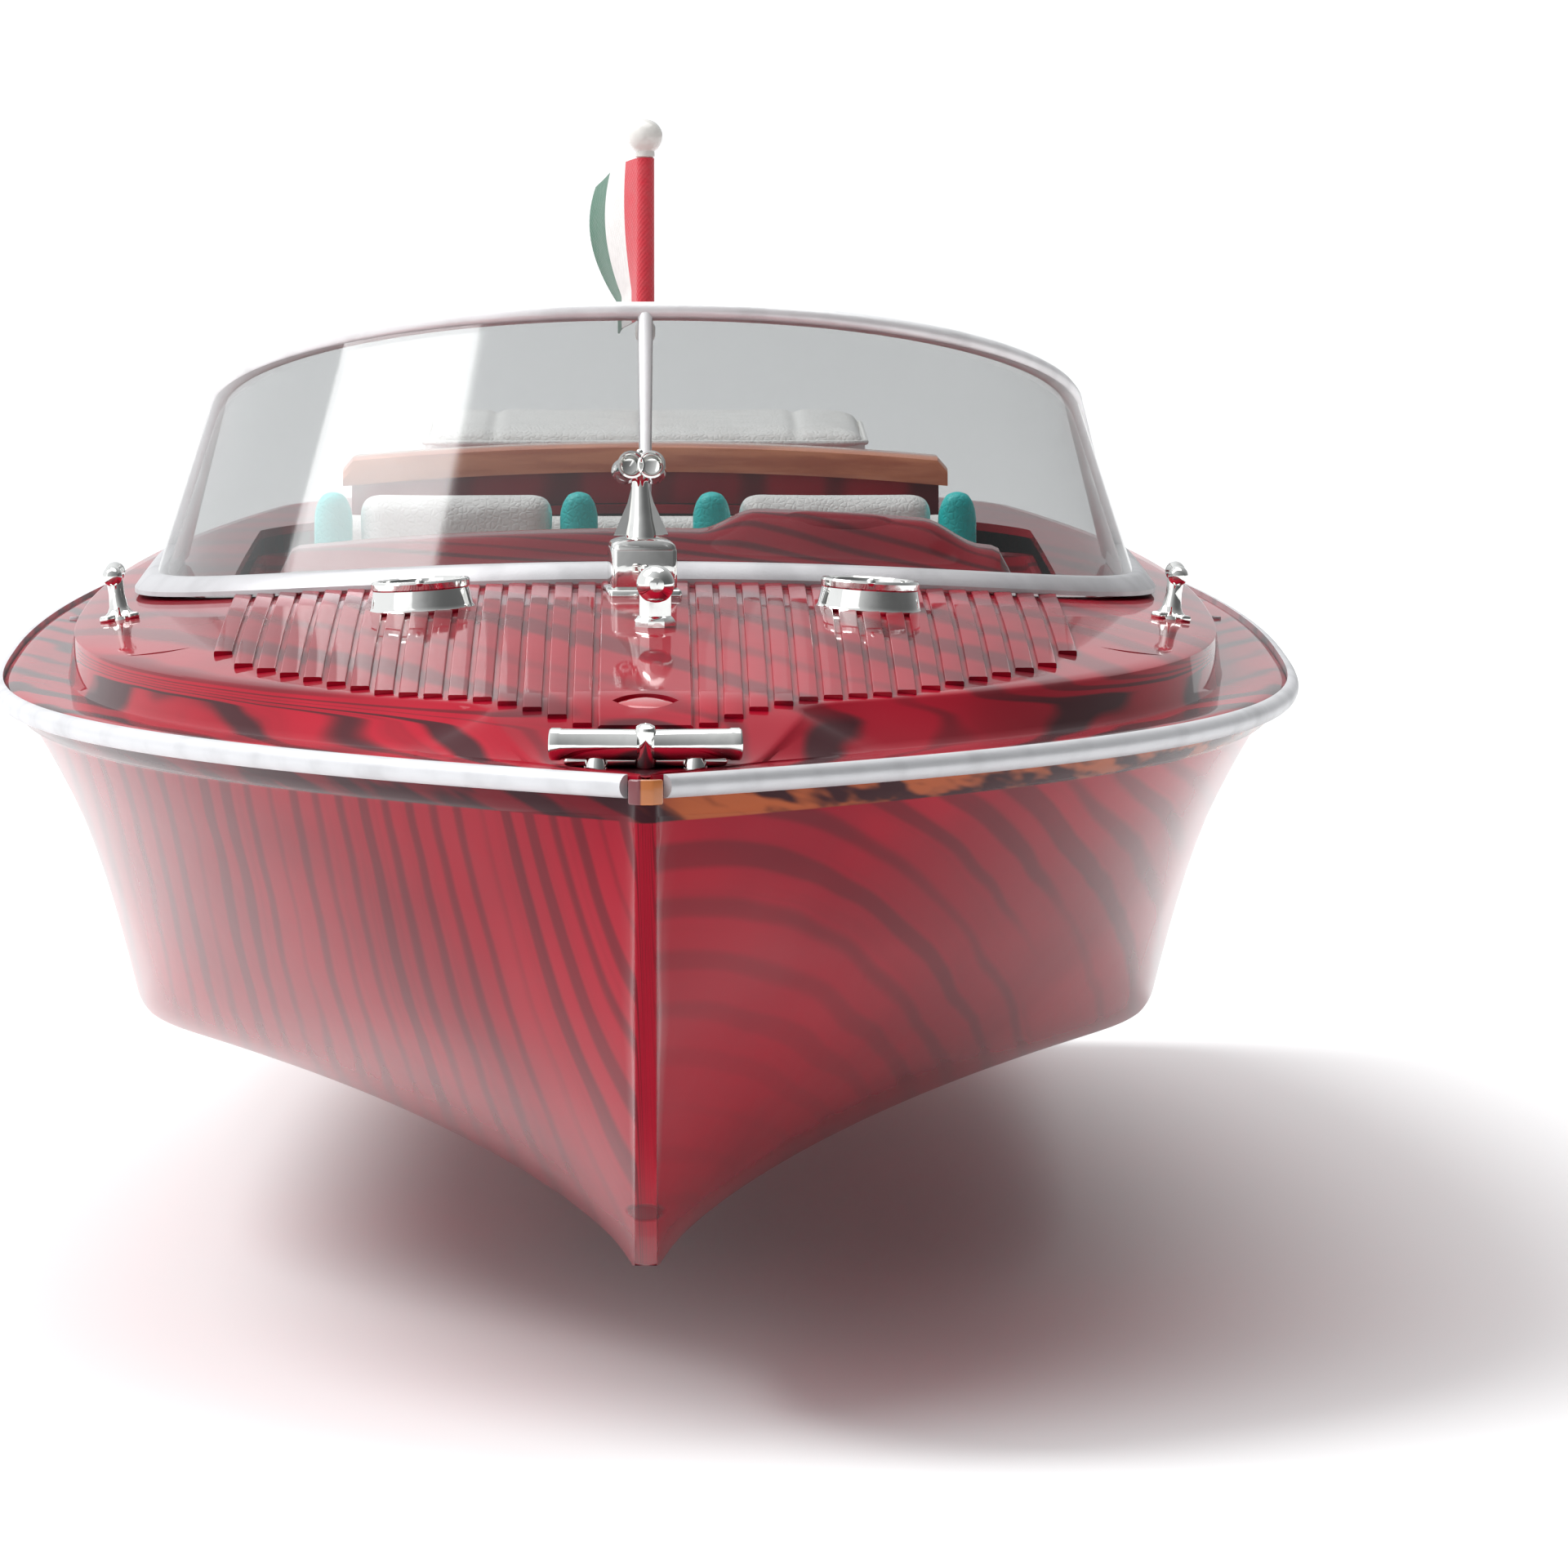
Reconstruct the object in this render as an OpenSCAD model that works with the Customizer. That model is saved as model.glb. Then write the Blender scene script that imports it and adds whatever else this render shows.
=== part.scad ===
/* [Hull] */
// Length of the hull from the stem head to the transom
hull_len = 440; // [436:1:444]
// Beam of the hull inside its rub rails
hull_beam = 130; // [128:1:132]
// Half-breadth of the sheer at the transom
transom_half = 41; // [39:1:43]
// Depth of the keel below the sheer amidships
keel_depth = 53.5; // [53:0.5:54.5]
// Depth of the chine below the sheer amidships
chine_depth = 39; // [38:0.5:40]
// Thickness of the moulded hull and deck
shell_t = 1.6; // [1.4:0.1:1.8]

/* [Deck] */
// Height of the raised deck's edge above the sheer
platform_h = 5.5; // [5:0.1:6]
// Width of the covering board between the rub rail and the raised deck
ledge_w = 6.5; // [6:0.1:7]
// Half-width of the cockpit opening
cockpit_half = 43; // [42:0.5:44]
// Half-width of the hatch opening in the aft deck
hatch_half = 30; // [28:1:31]

/* [Running gear] */
// Distance of each propeller shaft from the centre plane
shaft_x = 20; // [19:0.5:21]
// Radius of the propeller shafts and of the rudder stock
shaft_r = 1; // [0.9:0.05:1.1]
// Radius over the propeller blades
propeller_r = 8; // [7.5:0.1:8.1]
// Depth of the rudder's lower edge below the sheer
rudder_depth = 61.8; // [60:0.2:63]
// Radial clearance of every running fit
run_gap = 0.05; // [0.03:0.01:0.08]
// Length of the tiller and of the servo horn between their pivots
tiller_r = 9; // [8:0.5:10]

/* [Flag] */
// Length of the flag from hoist to fly
flag_len = 19.52; // [18:0.02:22]
// Height of the flag along its staff
flag_h = 19.4; // [14:0.2:19.8]

/* [Hidden] */

$fn = 48;
port = 1;
starboard = -1;
hair = 0.05;
half_beam = hull_beam / 2;
mid_y = 190;
stem_y = 1.5;
stem_half = 1;
keel_half = 1.5;
bow_power = 3.3;
foot_depth = 48.5;
stem_rake = 0.2;
foot_run = 38;
stem_chine_z = -18;
chine_half_max = 53;
frames = 26;
top_n = 5;
bend_n = 4;
bottom_n = 5;

shaft_slope = 14.2;
propeller_y = 392;
propeller_z = -54;
rudder_y = 415;
servo_y = 372;
staff_y = 422;
staff_rake = 8;
staff_z = 5;
staff_len = 43;
flag_z = 21;
flag_turn = 9;
flag_t = 0.5;
base_z = rudder_depth;
fly_y = 0.9 + flag_len * cos(flag_turn) + flag_t / 2 * sin(flag_turn);
overall_len = staff_y + fly_y * cos(staff_rake) + (flag_z + flag_h) * sin(staff_rake);

// Moves from the drawing frame, with its origin at the stem head, to the part's own frame.
module afloat() {
    translate([0, -overall_len / 2, base_z]) children();
}

// Curves

function mix(a, b, t) = a + (b - a) * t;
function clamped(t) = min(1, max(0, t));
function smooth(t) = let (c = clamped(t)) c * c * (3 - 2 * c);
function bezier(p, t) =
    pow(1 - t, 3) * p[0] + 3 * t * pow(1 - t, 2) * p[1]
    + 3 * t * t * (1 - t) * p[2] + pow(t, 3) * p[3];

// Solids from grids of points: a row has k points, and n rows lie one after another.

function quad(a, b, c, d) = [[a, b, c], [a, c, d]];
function flat(lists) = [for (l = lists) each l];
function grid_faces(n, k, first, turned) = flat([
    for (i = [0 : n - 2]) for (j = [0 : k - 2])
        let (a = first + i * k + j, b = a + 1, c = b + k, d = a + k)
        turned ? quad(a, d, c, b) : quad(a, b, c, d)]);
// Joins two grids of one size along both sides.
function side_faces(n, k) = let (m = n * k) flat([
    for (i = [0 : n - 2])
        let (a = i * k, d = a + k, b = a + k - 1, c = d + k - 1)
        concat(quad(a, d, d + m, a + m), quad(c, b, b + m, c + m))]);
// Joins the first and the last rows of two grids.
function end_faces(n, k) = let (m = n * k, e = (n - 1) * k) flat([
    for (j = [0 : k - 2])
        concat(quad(j + 1, j, j + m, j + 1 + m),
            quad(e + j, e + j + 1, e + j + 1 + m, e + j + m))]);
// Closes one row on itself, from its two ends to its middle.
function zip_faces(first, k, turned) = flat([
    for (j = [0 : k / 2 - 2])
        let (a = first + j, b = a + 1, c = first + k - 2 - j, d = c + 1)
        turned ? quad(a, d, c, b) : quad(a, b, c, d)]);

// A thin wall between two grids: a level wall names its under side first.
module wall(first, second) {
    n = len(first);
    k = len(first[0]);
    polyhedron(flat(concat(first, second)),
        concat(grid_faces(n, k, 0, false), grid_faces(n, k, n * k, true),
            side_faces(n, k), end_faces(n, k)));
}

// A bar swept along a path: each ring is a closed loop of points.
module swept(rings) {
    n = len(rings);
    k = len(rings[0]);
    closed = [for (i = [0 : n - 2]) for (j = [0 : k - 1])
        let (a = i * k + j, b = i * k + (j + 1) % k)
        each quad(a, b, b + k, a + k)];
    caps = [[for (j = [k - 1 : -1 : 0]) j], [for (j = [0 : k - 1]) (n - 1) * k + j]];
    polyhedron(flat(rings), concat(closed, caps));
}

// A round bar through points, with a ring at each point.
function unit(v) = v / norm(v);
function heading(path, i) =
    unit(path[min(i + 1, len(path) - 1)] - path[max(i - 1, 0)]);
function round_ring(centre, along, r, k) =
    let (side = unit(cross(along, abs(along[2]) > 0.9 ? [0, 1, 0] : [0, 0, 1])),
        up = cross(side, along))
    [for (j = [0 : k - 1]) centre + r * (cos(360 * j / k) * side + sin(360 * j / k) * up)];
module round_bar(path, r, k) {
    swept([for (i = [0 : len(path) - 1]) round_ring(path[i], heading(path, i), r, k)]);
}

// Hull lines, with y aft of the stem head and z above the sheer

function side_half(y) = y < mid_y
    ? half_beam * (1 - pow(1 - max(0, y - stem_y) / (mid_y - stem_y), bow_power))
    : half_beam - (half_beam - transom_half) * pow((y - mid_y) / (hull_len - mid_y), 2);
function chine_half(y) = y < 230
    ? chine_half_max * (1 - pow(1 - max(0, y - 6) / 224, 2.2))
    : chine_half_max - 7 * pow((y - 230) / 210, 2);
function chine_z(y) =
    stem_chine_z - (chine_depth + stem_chine_z) * pow(sin(90 * clamped(y / 250)), 1.2);
function keel_z(y) =
    -keel_depth + (keel_depth - foot_depth) * pow(max(0, 170 - y) / 121, 2.2)
    + 6 * pow(max(0, y - 260) / 180, 2);
function stem_run(z) = stem_rake * abs(z) + foot_run * pow(abs(z) / foot_depth, 5);
function stem_z(v) = v < 0.5
    ? stem_chine_z * v / 0.5
    : mix(stem_chine_z, -foot_depth, (v - 0.5) / 0.5);
function lean(v) = stem_run(stem_z(v)) / stem_run(foot_depth);

// One side of a frame, from sheer to keel, as [x, z, v] with v running from 0 to 1.
function frame_curve(s, c, k, r) = concat(
    [for (j = [0 : top_n]) let (a = (1 - r) * j / top_n) concat(mix(s, c, a), a / 2)],
    [for (j = [1 : bend_n - 1])
        let (t = j / bend_n, p = mix(s, c, 1 - r), q = mix(c, k, r))
        concat(mix(mix(p, c, t), mix(c, q, t), t), mix((1 - r) / 2, (1 + r) / 2, t))],
    [for (j = [0 : bottom_n]) let (b = mix(r, 1, j / bottom_n)) concat(mix(c, k, b), (1 + b) / 2)]);

function hull_side(u, t) =
    let (first_y = stem_y + 2.5 * t, last_y = hull_len - t,
        ys = first_y + (last_y - first_y) * pow(u, 1.35),
        run = (stem_run(foot_depth) - 1.5 * t) * pow(1 - u, 3),
        yc = ys + run * lean(0.5), yk = ys + run,
        s = [max(stem_half - t / 3, side_half(ys) - t), 0],
        c = [max(stem_half - t / 3, chine_half(yc) - 1.2 * t), chine_z(yc) + 0.9 * t],
        k = [mix(stem_half, keel_half, clamped(6 * u)) - t / 3, keel_z(yk) + 1.3 * t],
        r = mix(0.85, 0.07, smooth(ys / 190)),
        flare = mix(2.4, 0.7, clamped(ys / 150)) * clamped(8 * u),
        hollow = 0.8 * clamped(8 * u))
    [for (p = frame_curve(s, c, k, r))
        [max(stem_half - t / 3, p[0] - flare * (p[2] < 0.5 ? sin(360 * p[2]) : 0)),
            ys + run * lean(p[2]),
            p[1] + hollow * (p[2] > 0.5 ? -sin(360 * p[2]) : 0)]];
function hull_frame(u, t) =
    let (side = hull_side(u, t), n = len(side))
    concat([for (p = side) [-p[0], p[1], p[2]]], [for (j = [n - 1 : -1 : 0]) side[j]]);

// Deck lines

function stern_fall(y) = pow(max(0, y - 385) / (hull_len - 385), 2.2);
function platform_half(y) = y < 17
    ? 0.55 * side_half(y)
    : max(min(14.8, 3.8 + 0.36 * y), side_half(y) - 7 - 13 * exp((20 - y) / 25));
function foot_half(y) = max(0.63 * side_half(y), side_half(y) - ledge_w);
function edge_z(y) =
    (0.9 + (platform_h - 0.9) * smooth((y - 15) / 22)) * (1 - stern_fall(y)) + 0.9 * stern_fall(y);
function crown(y) = 0.00138 * smooth((y - 10) / 30) * (1 - stern_fall(y));
// Height of the raised deck above the sheer
function deck_z(x, y) = edge_z(y) + crown(y) * max(0, pow(platform_half(y), 2) - x * x);

deck_stations = 34;
function deck_y(i, first, last) = mix(first, last, pow(i / deck_stations, 1.3));
function deck_row(y, t) =
    let (pe = max(0.3, platform_half(y) - 0.6 * t), ft = max(pe + 0.2, foot_half(y) - 0.6 * t),
        ed = max(ft + 0.2, side_half(y) + (t > 0 ? -0.1 : 0)), low = 0.95 - t,
        half = concat([for (f = [0, 0.2, 0.4, 0.6, 0.8, 0.94]) [f * pe, deck_z(f * pe, y) - t]],
            [[pe, deck_z(pe, y) - 0.35 - t], [mix(pe, ft, 0.85), mix(deck_z(pe, y), low + t, 0.9) - t],
                [ft, low + 0.1], [ed, low]]))
    concat([for (j = [len(half) - 1 : -1 : 1]) [-half[j][0], y, half[j][1]]],
        [for (p = half) [p[0], y, p[1]]]);

// A grid that follows the deck at a height above it
function level_patch(xs, ys, up) = [for (y = ys) [for (x = xs) [x, y, deck_z(x, y) + up]]];

// Where a fitting's foot meets the deck, and the deck's slope across there
module on_deck(x, y, tilt = 1) {
    slope = atan(2 * crown(y) * x);
    translate([x, y, deck_z(x, y)]) rotate([0, tilt * slope, 0]) children();
}

// Moulded hull and deck

module hull_shell() {
    rows = frames + 1;
    outer = [for (i = [0 : frames]) hull_frame(i / frames, 0)];
    inner = [for (i = [0 : frames]) hull_frame(i / frames, shell_t)];
    count = len(outer[0]);
    m = rows * count;
    e = (rows - 1) * count;
    color([0.62, 0.05, 0.14]) afloat() difference() {
        polyhedron(flat(concat(outer, inner)), concat(
            grid_faces(rows, count, 0, false), grid_faces(rows, count, m, true),
            side_faces(rows, count),
            zip_faces(0, count, true), zip_faces(m, count, false),
            zip_faces(e, count, false), zip_faces(m + e, count, true),
            quad(count - 1, 0, m, m + count - 1),
            quad(e, e + count - 1, m + e + count - 1, m + e)));
        for (side = [port, starboard]) shaft_line(side)
            translate([0, 0, tube_from - 10]) cylinder(r = tube_r, h = tube_len + 10);
        translate([0, rudder_y, keel_z(rudder_y) - 5]) cylinder(r = rudder_tube_r, h = 15);
    }
}

module cockpit_outline(grow) {
    offset(r = grow) hull() {
        for (side = [port, starboard]) {
            translate([side * (cockpit_half - 12), 196]) circle(r = 12, $fn = 32);
            translate([side * (cockpit_half - 8), 310]) circle(r = 8, $fn = 32);
        }
        translate([0, 194]) circle(r = 16, $fn = 32);
    }
}

hatch_from = 341;
hatch_to = 404;
module hatch_outline(grow) {
    translate([0, (hatch_from + hatch_to) / 2]) offset(r = 4 + grow, $fn = 24)
        square([2 * hatch_half - 8, hatch_to - hatch_from - 8], center = true);
}

module deck_shell() {
    top = [for (i = [0 : deck_stations]) deck_row(deck_y(i, stem_y + 0.2, hull_len), 0)];
    under = [for (i = [0 : deck_stations]) deck_row(deck_y(i, stem_y + 0.2, hull_len), 0.9)];
    color([0.62, 0.05, 0.14]) afloat() difference() {
        wall(under, top);
        translate([0, 0, -5]) linear_extrude(30) cockpit_outline(0);
        translate([0, 0, -5]) linear_extrude(30) hatch_outline(0);
        staff_line() cylinder(r = socket_r, h = 20, center = true);
        translate([0, latch_y, 0]) cylinder(r = latch_r + 2 * run_gap, h = 20);
    }
}

// Rub rail: a half-round along the sheer, with its flat side on the hull.
rail_stations = 44;
function rail_heading(y) = unit([side_half(y + 0.5) - side_half(y - 0.5), 1]);
function rail_ring(y, side) =
    let (h = rail_heading(y), out = [h[1], -h[0]], x = side_half(y), lip = 0.08)
    [for (a = (side > 0 ? [-90 : 36 : 90] : [90 : -36 : -90]))
        [side * (x + out[0] * (lip + 1.15 * cos(a))), y + out[1] * (lip + 1.15 * cos(a)), 1.1 * sin(a)]];
module rub_rail(side) {
    color("silver") afloat()
        swept([for (i = [0 : rail_stations])
            rail_ring(mix(2.9, hull_len - 0.3, pow(i / rail_stations, 1.3)), side)]);
}

module stem_cap() {
    color([0.75, 0.36, 0.2]) afloat() translate([0, 0, -1.6]) linear_extrude(2.4)
        polygon([[-0.9, 0.05], [0.9, 0.05], [1.7, 1], [1.3, 1.7], [0.95, 1.4], [-0.95, 1.4],
            [-1.3, 1.7], [-1.7, 1]]);
}

// Windscreen: a moulding between a base curve on the deck and a top curve, each with a
// front bow and a straight wing on either side.
base_bow = [[0, 147, 0], [24, 147, 0], [51.5, 160, 0], [51.5, 197, 0]];
base_tip = [51.2, 250, 0];
top_bow = [[0, 166, 36.8], [22, 166, 37], [44, 180, 32.5], [45.4, 207, 25.5]];
top_tip = [50.6, 251, 7.6];
bow_share = 0.75;
function on_curve(bow, tip, a) = let (b = abs(a), p = b < bow_share
        ? bezier(bow, b / bow_share)
        : mix(bow[3], tip, (b - bow_share) / (1 - bow_share)))
    [(a < 0 ? -1 : 1) * p[0], p[1], p[2]];
function screen_base(a) = let (p = on_curve(base_bow, base_tip, a)) [p[0], p[1], deck_z(p[0], p[1])];
function screen_top(a) = on_curve(top_bow, top_tip, a);
function inward(a, d) = let (b = screen_base(a + 0.01) - screen_base(a - 0.01), n = unit([b[1], -b[0], 0]))
    -d * n;
screen_n = 32;
function screen_point(a, v, d) = mix(screen_base(a), screen_top(a), v) + inward(a, d);

module windscreen_glass() {
    steps = [for (i = [0 : screen_n]) mix(-0.98, 0.98, i / screen_n)];
    color([0.85, 0.9, 0.92, 0.4]) afloat() wall(
        [for (a = steps) [for (v = [0.05, 0.5, 0.97]) screen_point(a, v, 0.1)]],
        [for (a = steps) [for (v = [0.05, 0.5, 0.97]) screen_point(a, v, 1.1)]]);
}

function band_ring(a, low, high, out, inn) = [screen_point(a, 0, out) + [0, 0, low],
    screen_point(a, 0, out) + [0, 0, high], screen_point(a, 0, inn) + [0, 0, high],
    screen_point(a, 0, inn) + [0, 0, low]];
module windscreen_base_band() {
    color("silver") afloat() swept([for (i = [0 : screen_n])
        band_ring(mix(-1, 1, i / screen_n), 0.3, 2.3, -0.7, 1.7)]);
}

module windscreen_top_rail() {
    color("silver") afloat() {
        round_bar([for (i = [0 : screen_n]) screen_point(mix(-1, 1, i / screen_n), 1, 0.6)], 1, 8);
        round_bar([screen_point(0, 0.06, 0.6), screen_point(0, 0.5, 0.6), screen_point(0, 1, 0.6)],
            0.75, 8);
    }
}

// Cockpit

tub_floor_z = -18;
tub_rim_z = 4;
module cockpit_tub() {
    color([0.45, 0.04, 0.1]) afloat() difference() {
        translate([0, 0, tub_floor_z - 1.2])
            linear_extrude(tub_rim_z - tub_floor_z + 1.2) cockpit_outline(0.6);
        translate([0, 0, tub_floor_z]) linear_extrude(60) cockpit_outline(-0.6);
    }
}

// The dashboard is a hood on the deck with a taller hump before the helm, and a panel below it.
hood_x = [for (i = [0 : 20]) mix(-38, 38, i / 20)];
hood_y = [172, 176, 180, 184, 187];
function hood_rise(x, y) =
    (0.9 + 2.6 * smooth((y - 171) / 9)) + 2.2 * smooth((14 - abs(x - 20)) / 5) * smooth((y - 173) / 8);
module dashboard() {
    color([0.55, 0.05, 0.12]) afloat() {
        wall(level_patch(hood_x, hood_y, 0.3),
            [for (y = hood_y) [for (x = hood_x) [x, y, deck_z(x, y) + hood_rise(x, y)]]]);
        translate([-34, 186, -4]) cube([68, 1.6, 13]);
    }
    color([0.3, 0.3, 0.32]) wheel_axis() difference() {
        translate([0, 0, -11.5]) cylinder(r = 1.6, h = 10.3);
        translate([0, 0, -5]) cylinder(r = 0.8 + run_gap, h = 6);
    }
}

module gauge_bezels() {
    color("silver") afloat() for (x = [-22, -13, -4])
        translate([x, 187.6, 3.5]) rotate([-90, 0, 0]) difference() {
            cylinder(r = 3.2, h = 0.9);
            translate([0, 0, 0.3]) cylinder(r = 2.5, h = 1);
        }
}

wheel_y = 198;
wheel_z = 6.5;
wheel_tilt = -70;
module wheel_axis() {
    afloat() translate([port * 20, wheel_y, wheel_z]) rotate([wheel_tilt, 0, 0]) children();
}
module steering_wheel() {
    color([0.93, 0.93, 0.9]) wheel_axis() {
        rotate_extrude() translate([7, 0]) circle(r = 0.7);
        for (a = [0, 120, 240]) rotate([0, 0, a + 90])
            translate([4, 0, 0]) cube([6.2, 1.2, 0.7], center = true);
        translate([0, 0, -0.9]) cylinder(r = 1.7, h = 2.2);
        translate([0, 0, -4.6]) cylinder(r = 0.8, h = 4);
    }
}

// A cushion with rounded upright edges and a softened top.
module cushion(size, r) {
    hull() for (x = [-1, 1]) for (y = [-1, 1])
        translate([x * (size[0] / 2 - r), y * (size[1] / 2 - r), 0]) {
            cylinder(r = r, h = size[2] - r, $fn = 16);
            translate([0, 0, size[2] - r]) sphere(r = r, $fn = 16);
        }
}

seat_x = 20.5;
seat_w = 22;
seat_y = 244;
module front_seat(side) {
    color([0.94, 0.93, 0.9]) afloat() translate([side * seat_x, seat_y, tub_floor_z + 0.1]) {
        cushion([seat_w, 30, 11], 2);
        translate([0, 16, 6]) rotate([-8, 0, 0]) cushion([seat_w, 6.5, 26], 2.2);
    }
}

module seat_bolsters() {
    color([0, 0.72, 0.72]) afloat() for (side = [port, starboard])
        for (x = [seat_x - seat_w / 2 - 2.3, seat_x + seat_w / 2 + 2.3])
            translate([side * x, seat_y + 16, tub_floor_z + 6.1]) rotate([-8, 0, 0])
                cushion([4, 8, 26], 1.9);
}

module rear_bench() {
    color([0.94, 0.93, 0.9]) afloat() translate([0, 0, tub_floor_z + 0.1]) {
        translate([0, 297, 0]) cushion([72, 22, 12], 2);
        translate([0, 311, 4]) cushion([72, 5.5, 23], 2.2);
    }
}

// Varnished beam across the deck behind the cockpit
trim_half = 34;
trim_h = 6.7;
module cockpit_trim() {
    across = [-trim_half : 4 : trim_half];
    color([0.76, 0.4, 0.22]) afloat()
        wall(level_patch(across, [322, 333], 0.1), level_patch(across, [322, 333], trim_h));
}

// Deck fittings

module bow_chock() {
    color([0.85, 0.86, 0.88]) afloat() translate([0, 12.5, 3.1]) {
        for (side = [port, starboard]) rotate([0, 90, side * 8 - (side < 0 ? 180 : 0)]) {
            cylinder(r = 1.3, h = 8.8);
            translate([0, 0, 7.9]) cylinder(r = 1.45, h = 0.9);
        }
        cylinder(r = 1.8, h = 2.6, center = true);
        translate([0, 3.4, -1.5]) cube([15, 6, 0.9], center = true);
        for (side = [port, starboard]) translate([side * 4.5, 0.8, -1.5])
            cylinder(r = 0.9, h = 1.6, center = true);
        translate([0, 4, -3.4]) cylinder(r = 0.8, h = 3);
    }
}

fitting_yaw = -3.9;
module bow_bollard() {
    color([0.85, 0.86, 0.88]) afloat() on_deck(0.9, 90) rotate([0, 0, -fitting_yaw]) {
        translate([0, 0, -1.2]) cylinder(r = 0.9, h = 1.5);
        translate([0, 0, -0.05]) cylinder(r = 2.1, h = 1.4, $fn = 8);
        translate([0, 0, 1.2]) cylinder(r = 1.65, h = 3, $fn = 8);
        translate([0, -1, 4.6]) sphere(r = 1.85);
    }
}

module signal_horn() {
    color([0.85, 0.86, 0.88]) afloat() on_deck(-0.3, 127) rotate([0, 0, -fitting_yaw]) {
        translate([0, 0, -1.2]) cylinder(r = 0.9, h = 1.5);
        translate([0, 0, 0.55]) cube([7.2, 10, 1.2], center = true);
        translate([0, 0, 3]) cube([6.2, 8, 4], center = true);
        translate([0, 4, 4.5]) rotate([90, 0, 0]) cylinder(r = 2.4, h = 8);
        translate([0, 2, 6]) rotate([-12, 0, 0]) {
            cylinder(r1 = 1.3, r2 = 0.8, h = 6.2);
            translate([0, 0, 6.9]) for (side = [port, starboard]) translate([side * 1.15, 0, 0])
                rotate([90, 0, 0]) cylinder(r = 1.35, h = 5, center = true);
        }
    }
}

module foredeck_vent(side) {
    color([0.85, 0.86, 0.88]) afloat() on_deck(side * 22, 119) difference() {
        union() {
            translate([0, 0, -1.2]) cylinder(r = 2, h = 1.5);
            cylinder(r = 5.25, h = 0.5);
            translate([0, 0, 0.5]) cylinder(r1 = 5.1, r2 = 4.6, h = 1.8);
            translate([0, 0, 2.3]) cylinder(r = 4.75, h = 0.9);
        }
        translate([0, 0, 1.2]) cylinder(r = 4, h = 3);
    }
}

module side_cleat(side) {
    color([0.85, 0.86, 0.88]) afloat() on_deck(side * 53, 154) {
        translate([0, 0, -1.2]) cylinder(r = 0.7, h = 1.5);
        cylinder(r1 = 2, r2 = 1.1, h = 1);
        cylinder(r = 0.9, h = 4.3);
        translate([0, 0, 4.6]) rotate([90, 0, 0]) {
            cylinder(r = 0.75, h = 8, center = true);
            for (end = [-4, 4]) translate([0, 0, end]) sphere(r = 1.05);
        }
    }
}

// Flagstaff and flag

socket_r = 1.5;
module staff_line() {
    translate([0, staff_y, staff_z]) rotate([-staff_rake, 0, 0]) children();
}
module staff_socket() {
    color([0.85, 0.86, 0.88]) afloat() staff_line() difference() {
        union() {
            translate([0, 0, -2]) cylinder(r = socket_r, h = 7);
            translate([0, 0, 1.2]) cylinder(r = 3, h = 0.8);
        }
        translate([0, 0, -1]) cylinder(r = 0.8, h = 7);
    }
}
module flagstaff() {
    color([0.9, 0.9, 0.88]) afloat() staff_line() {
        translate([0, 0, -1]) cylinder(r = 0.8, h = staff_len);
        translate([0, 0, flag_z - 2.4]) cylinder(r = 1.2, h = 1.8);
        translate([0, 0, staff_len]) sphere(r = 2.1);
    }
}
module flag() {
    color([0.8, 0.1, 0.12]) afloat() staff_line() translate([0, 0.9, flag_z])
        rotate([0, 0, flag_turn]) translate([-flag_t / 2, 0, 0]) cube([flag_t, flag_len, flag_h]);
}

// Aft hatch: its cover turns on a pin in front of it and is held shut by a turn latch.

hinge_y = 337;
hinge_z = 10.7;
module hinge_axis() {
    afloat() translate([0, hinge_y, hinge_z]) rotate([0, 90, 0]) children();
}
cover_x = [for (i = [0 : 16]) mix(-hatch_half - 2, hatch_half + 2, i / 16)];
cover_y = [for (i = [0 : 10]) mix(hatch_from - 1, hatch_to + 2, i / 10)];
module hatch_cover() {
    color([0.62, 0.05, 0.14]) {
        afloat() wall(level_patch(cover_x, cover_y, 0.4), level_patch(cover_x, cover_y, 1.9));
        for (x = [-16, 16]) difference() {
            union() {
                translate([x, 0, 0]) hinge_axis() translate([0, 0, -2]) cylinder(r = 1.4, h = 4);
                afloat() translate([x - 2, hinge_y, hinge_z - 2]) cube([4, 9, 2.2]);
            }
            translate([x, 0, 0]) hinge_axis() translate([0, 0, -3]) cylinder(r = 0.75 + run_gap, h = 6);
        }
    }
}
module sunpad() {
    color([0.94, 0.93, 0.9]) afloat() translate([0, 374, deck_z(0, 348) + 1.95])
        cushion([52, 52, 5.5], 2.4);
}
module hinge_leaf() {
    color("silver") for (x = [-16, 16]) for (end = [-3.7, 3.7]) difference() {
        union() {
            translate([x + end, 0, 0]) hinge_axis() translate([0, 0, -1.5]) cylinder(r = 1.4, h = 3);
            afloat() translate([x + end - 1.5, hinge_y - 1.4, deck_z(16, hinge_y) - 0.5])
                cube([3, 2.8, hinge_z - deck_z(16, hinge_y) + 0.5]);
        }
        translate([x + end, 0, 0]) hinge_axis() translate([0, 0, -3]) cylinder(r = 0.75, h = 6);
    }
}
module hinge_pin() {
    color("silver") for (x = [-16, 16]) translate([x, 0, 0]) hinge_axis()
        translate([0, 0, -5.2]) cylinder(r = 0.75, h = 10.4);
}
latch_y = 409;
latch_r = 0.9;
// The latch is drawn turned clear of the cover.
module hatch_latch() {
    color("silver") afloat() translate([0, latch_y, deck_z(0, latch_y)]) {
        translate([0, 0, -2.6]) cylinder(r = latch_r, h = 5.6);
        translate([0, 0, 2.6]) cylinder(r = 1.8, h = 1);
        translate([0, 2.6, 2.95]) cube([2.2, 6.4, 0.9], center = true);
    }
}

// Running gear: the shaft's frame has its origin at the propeller and z forward and up.

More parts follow.
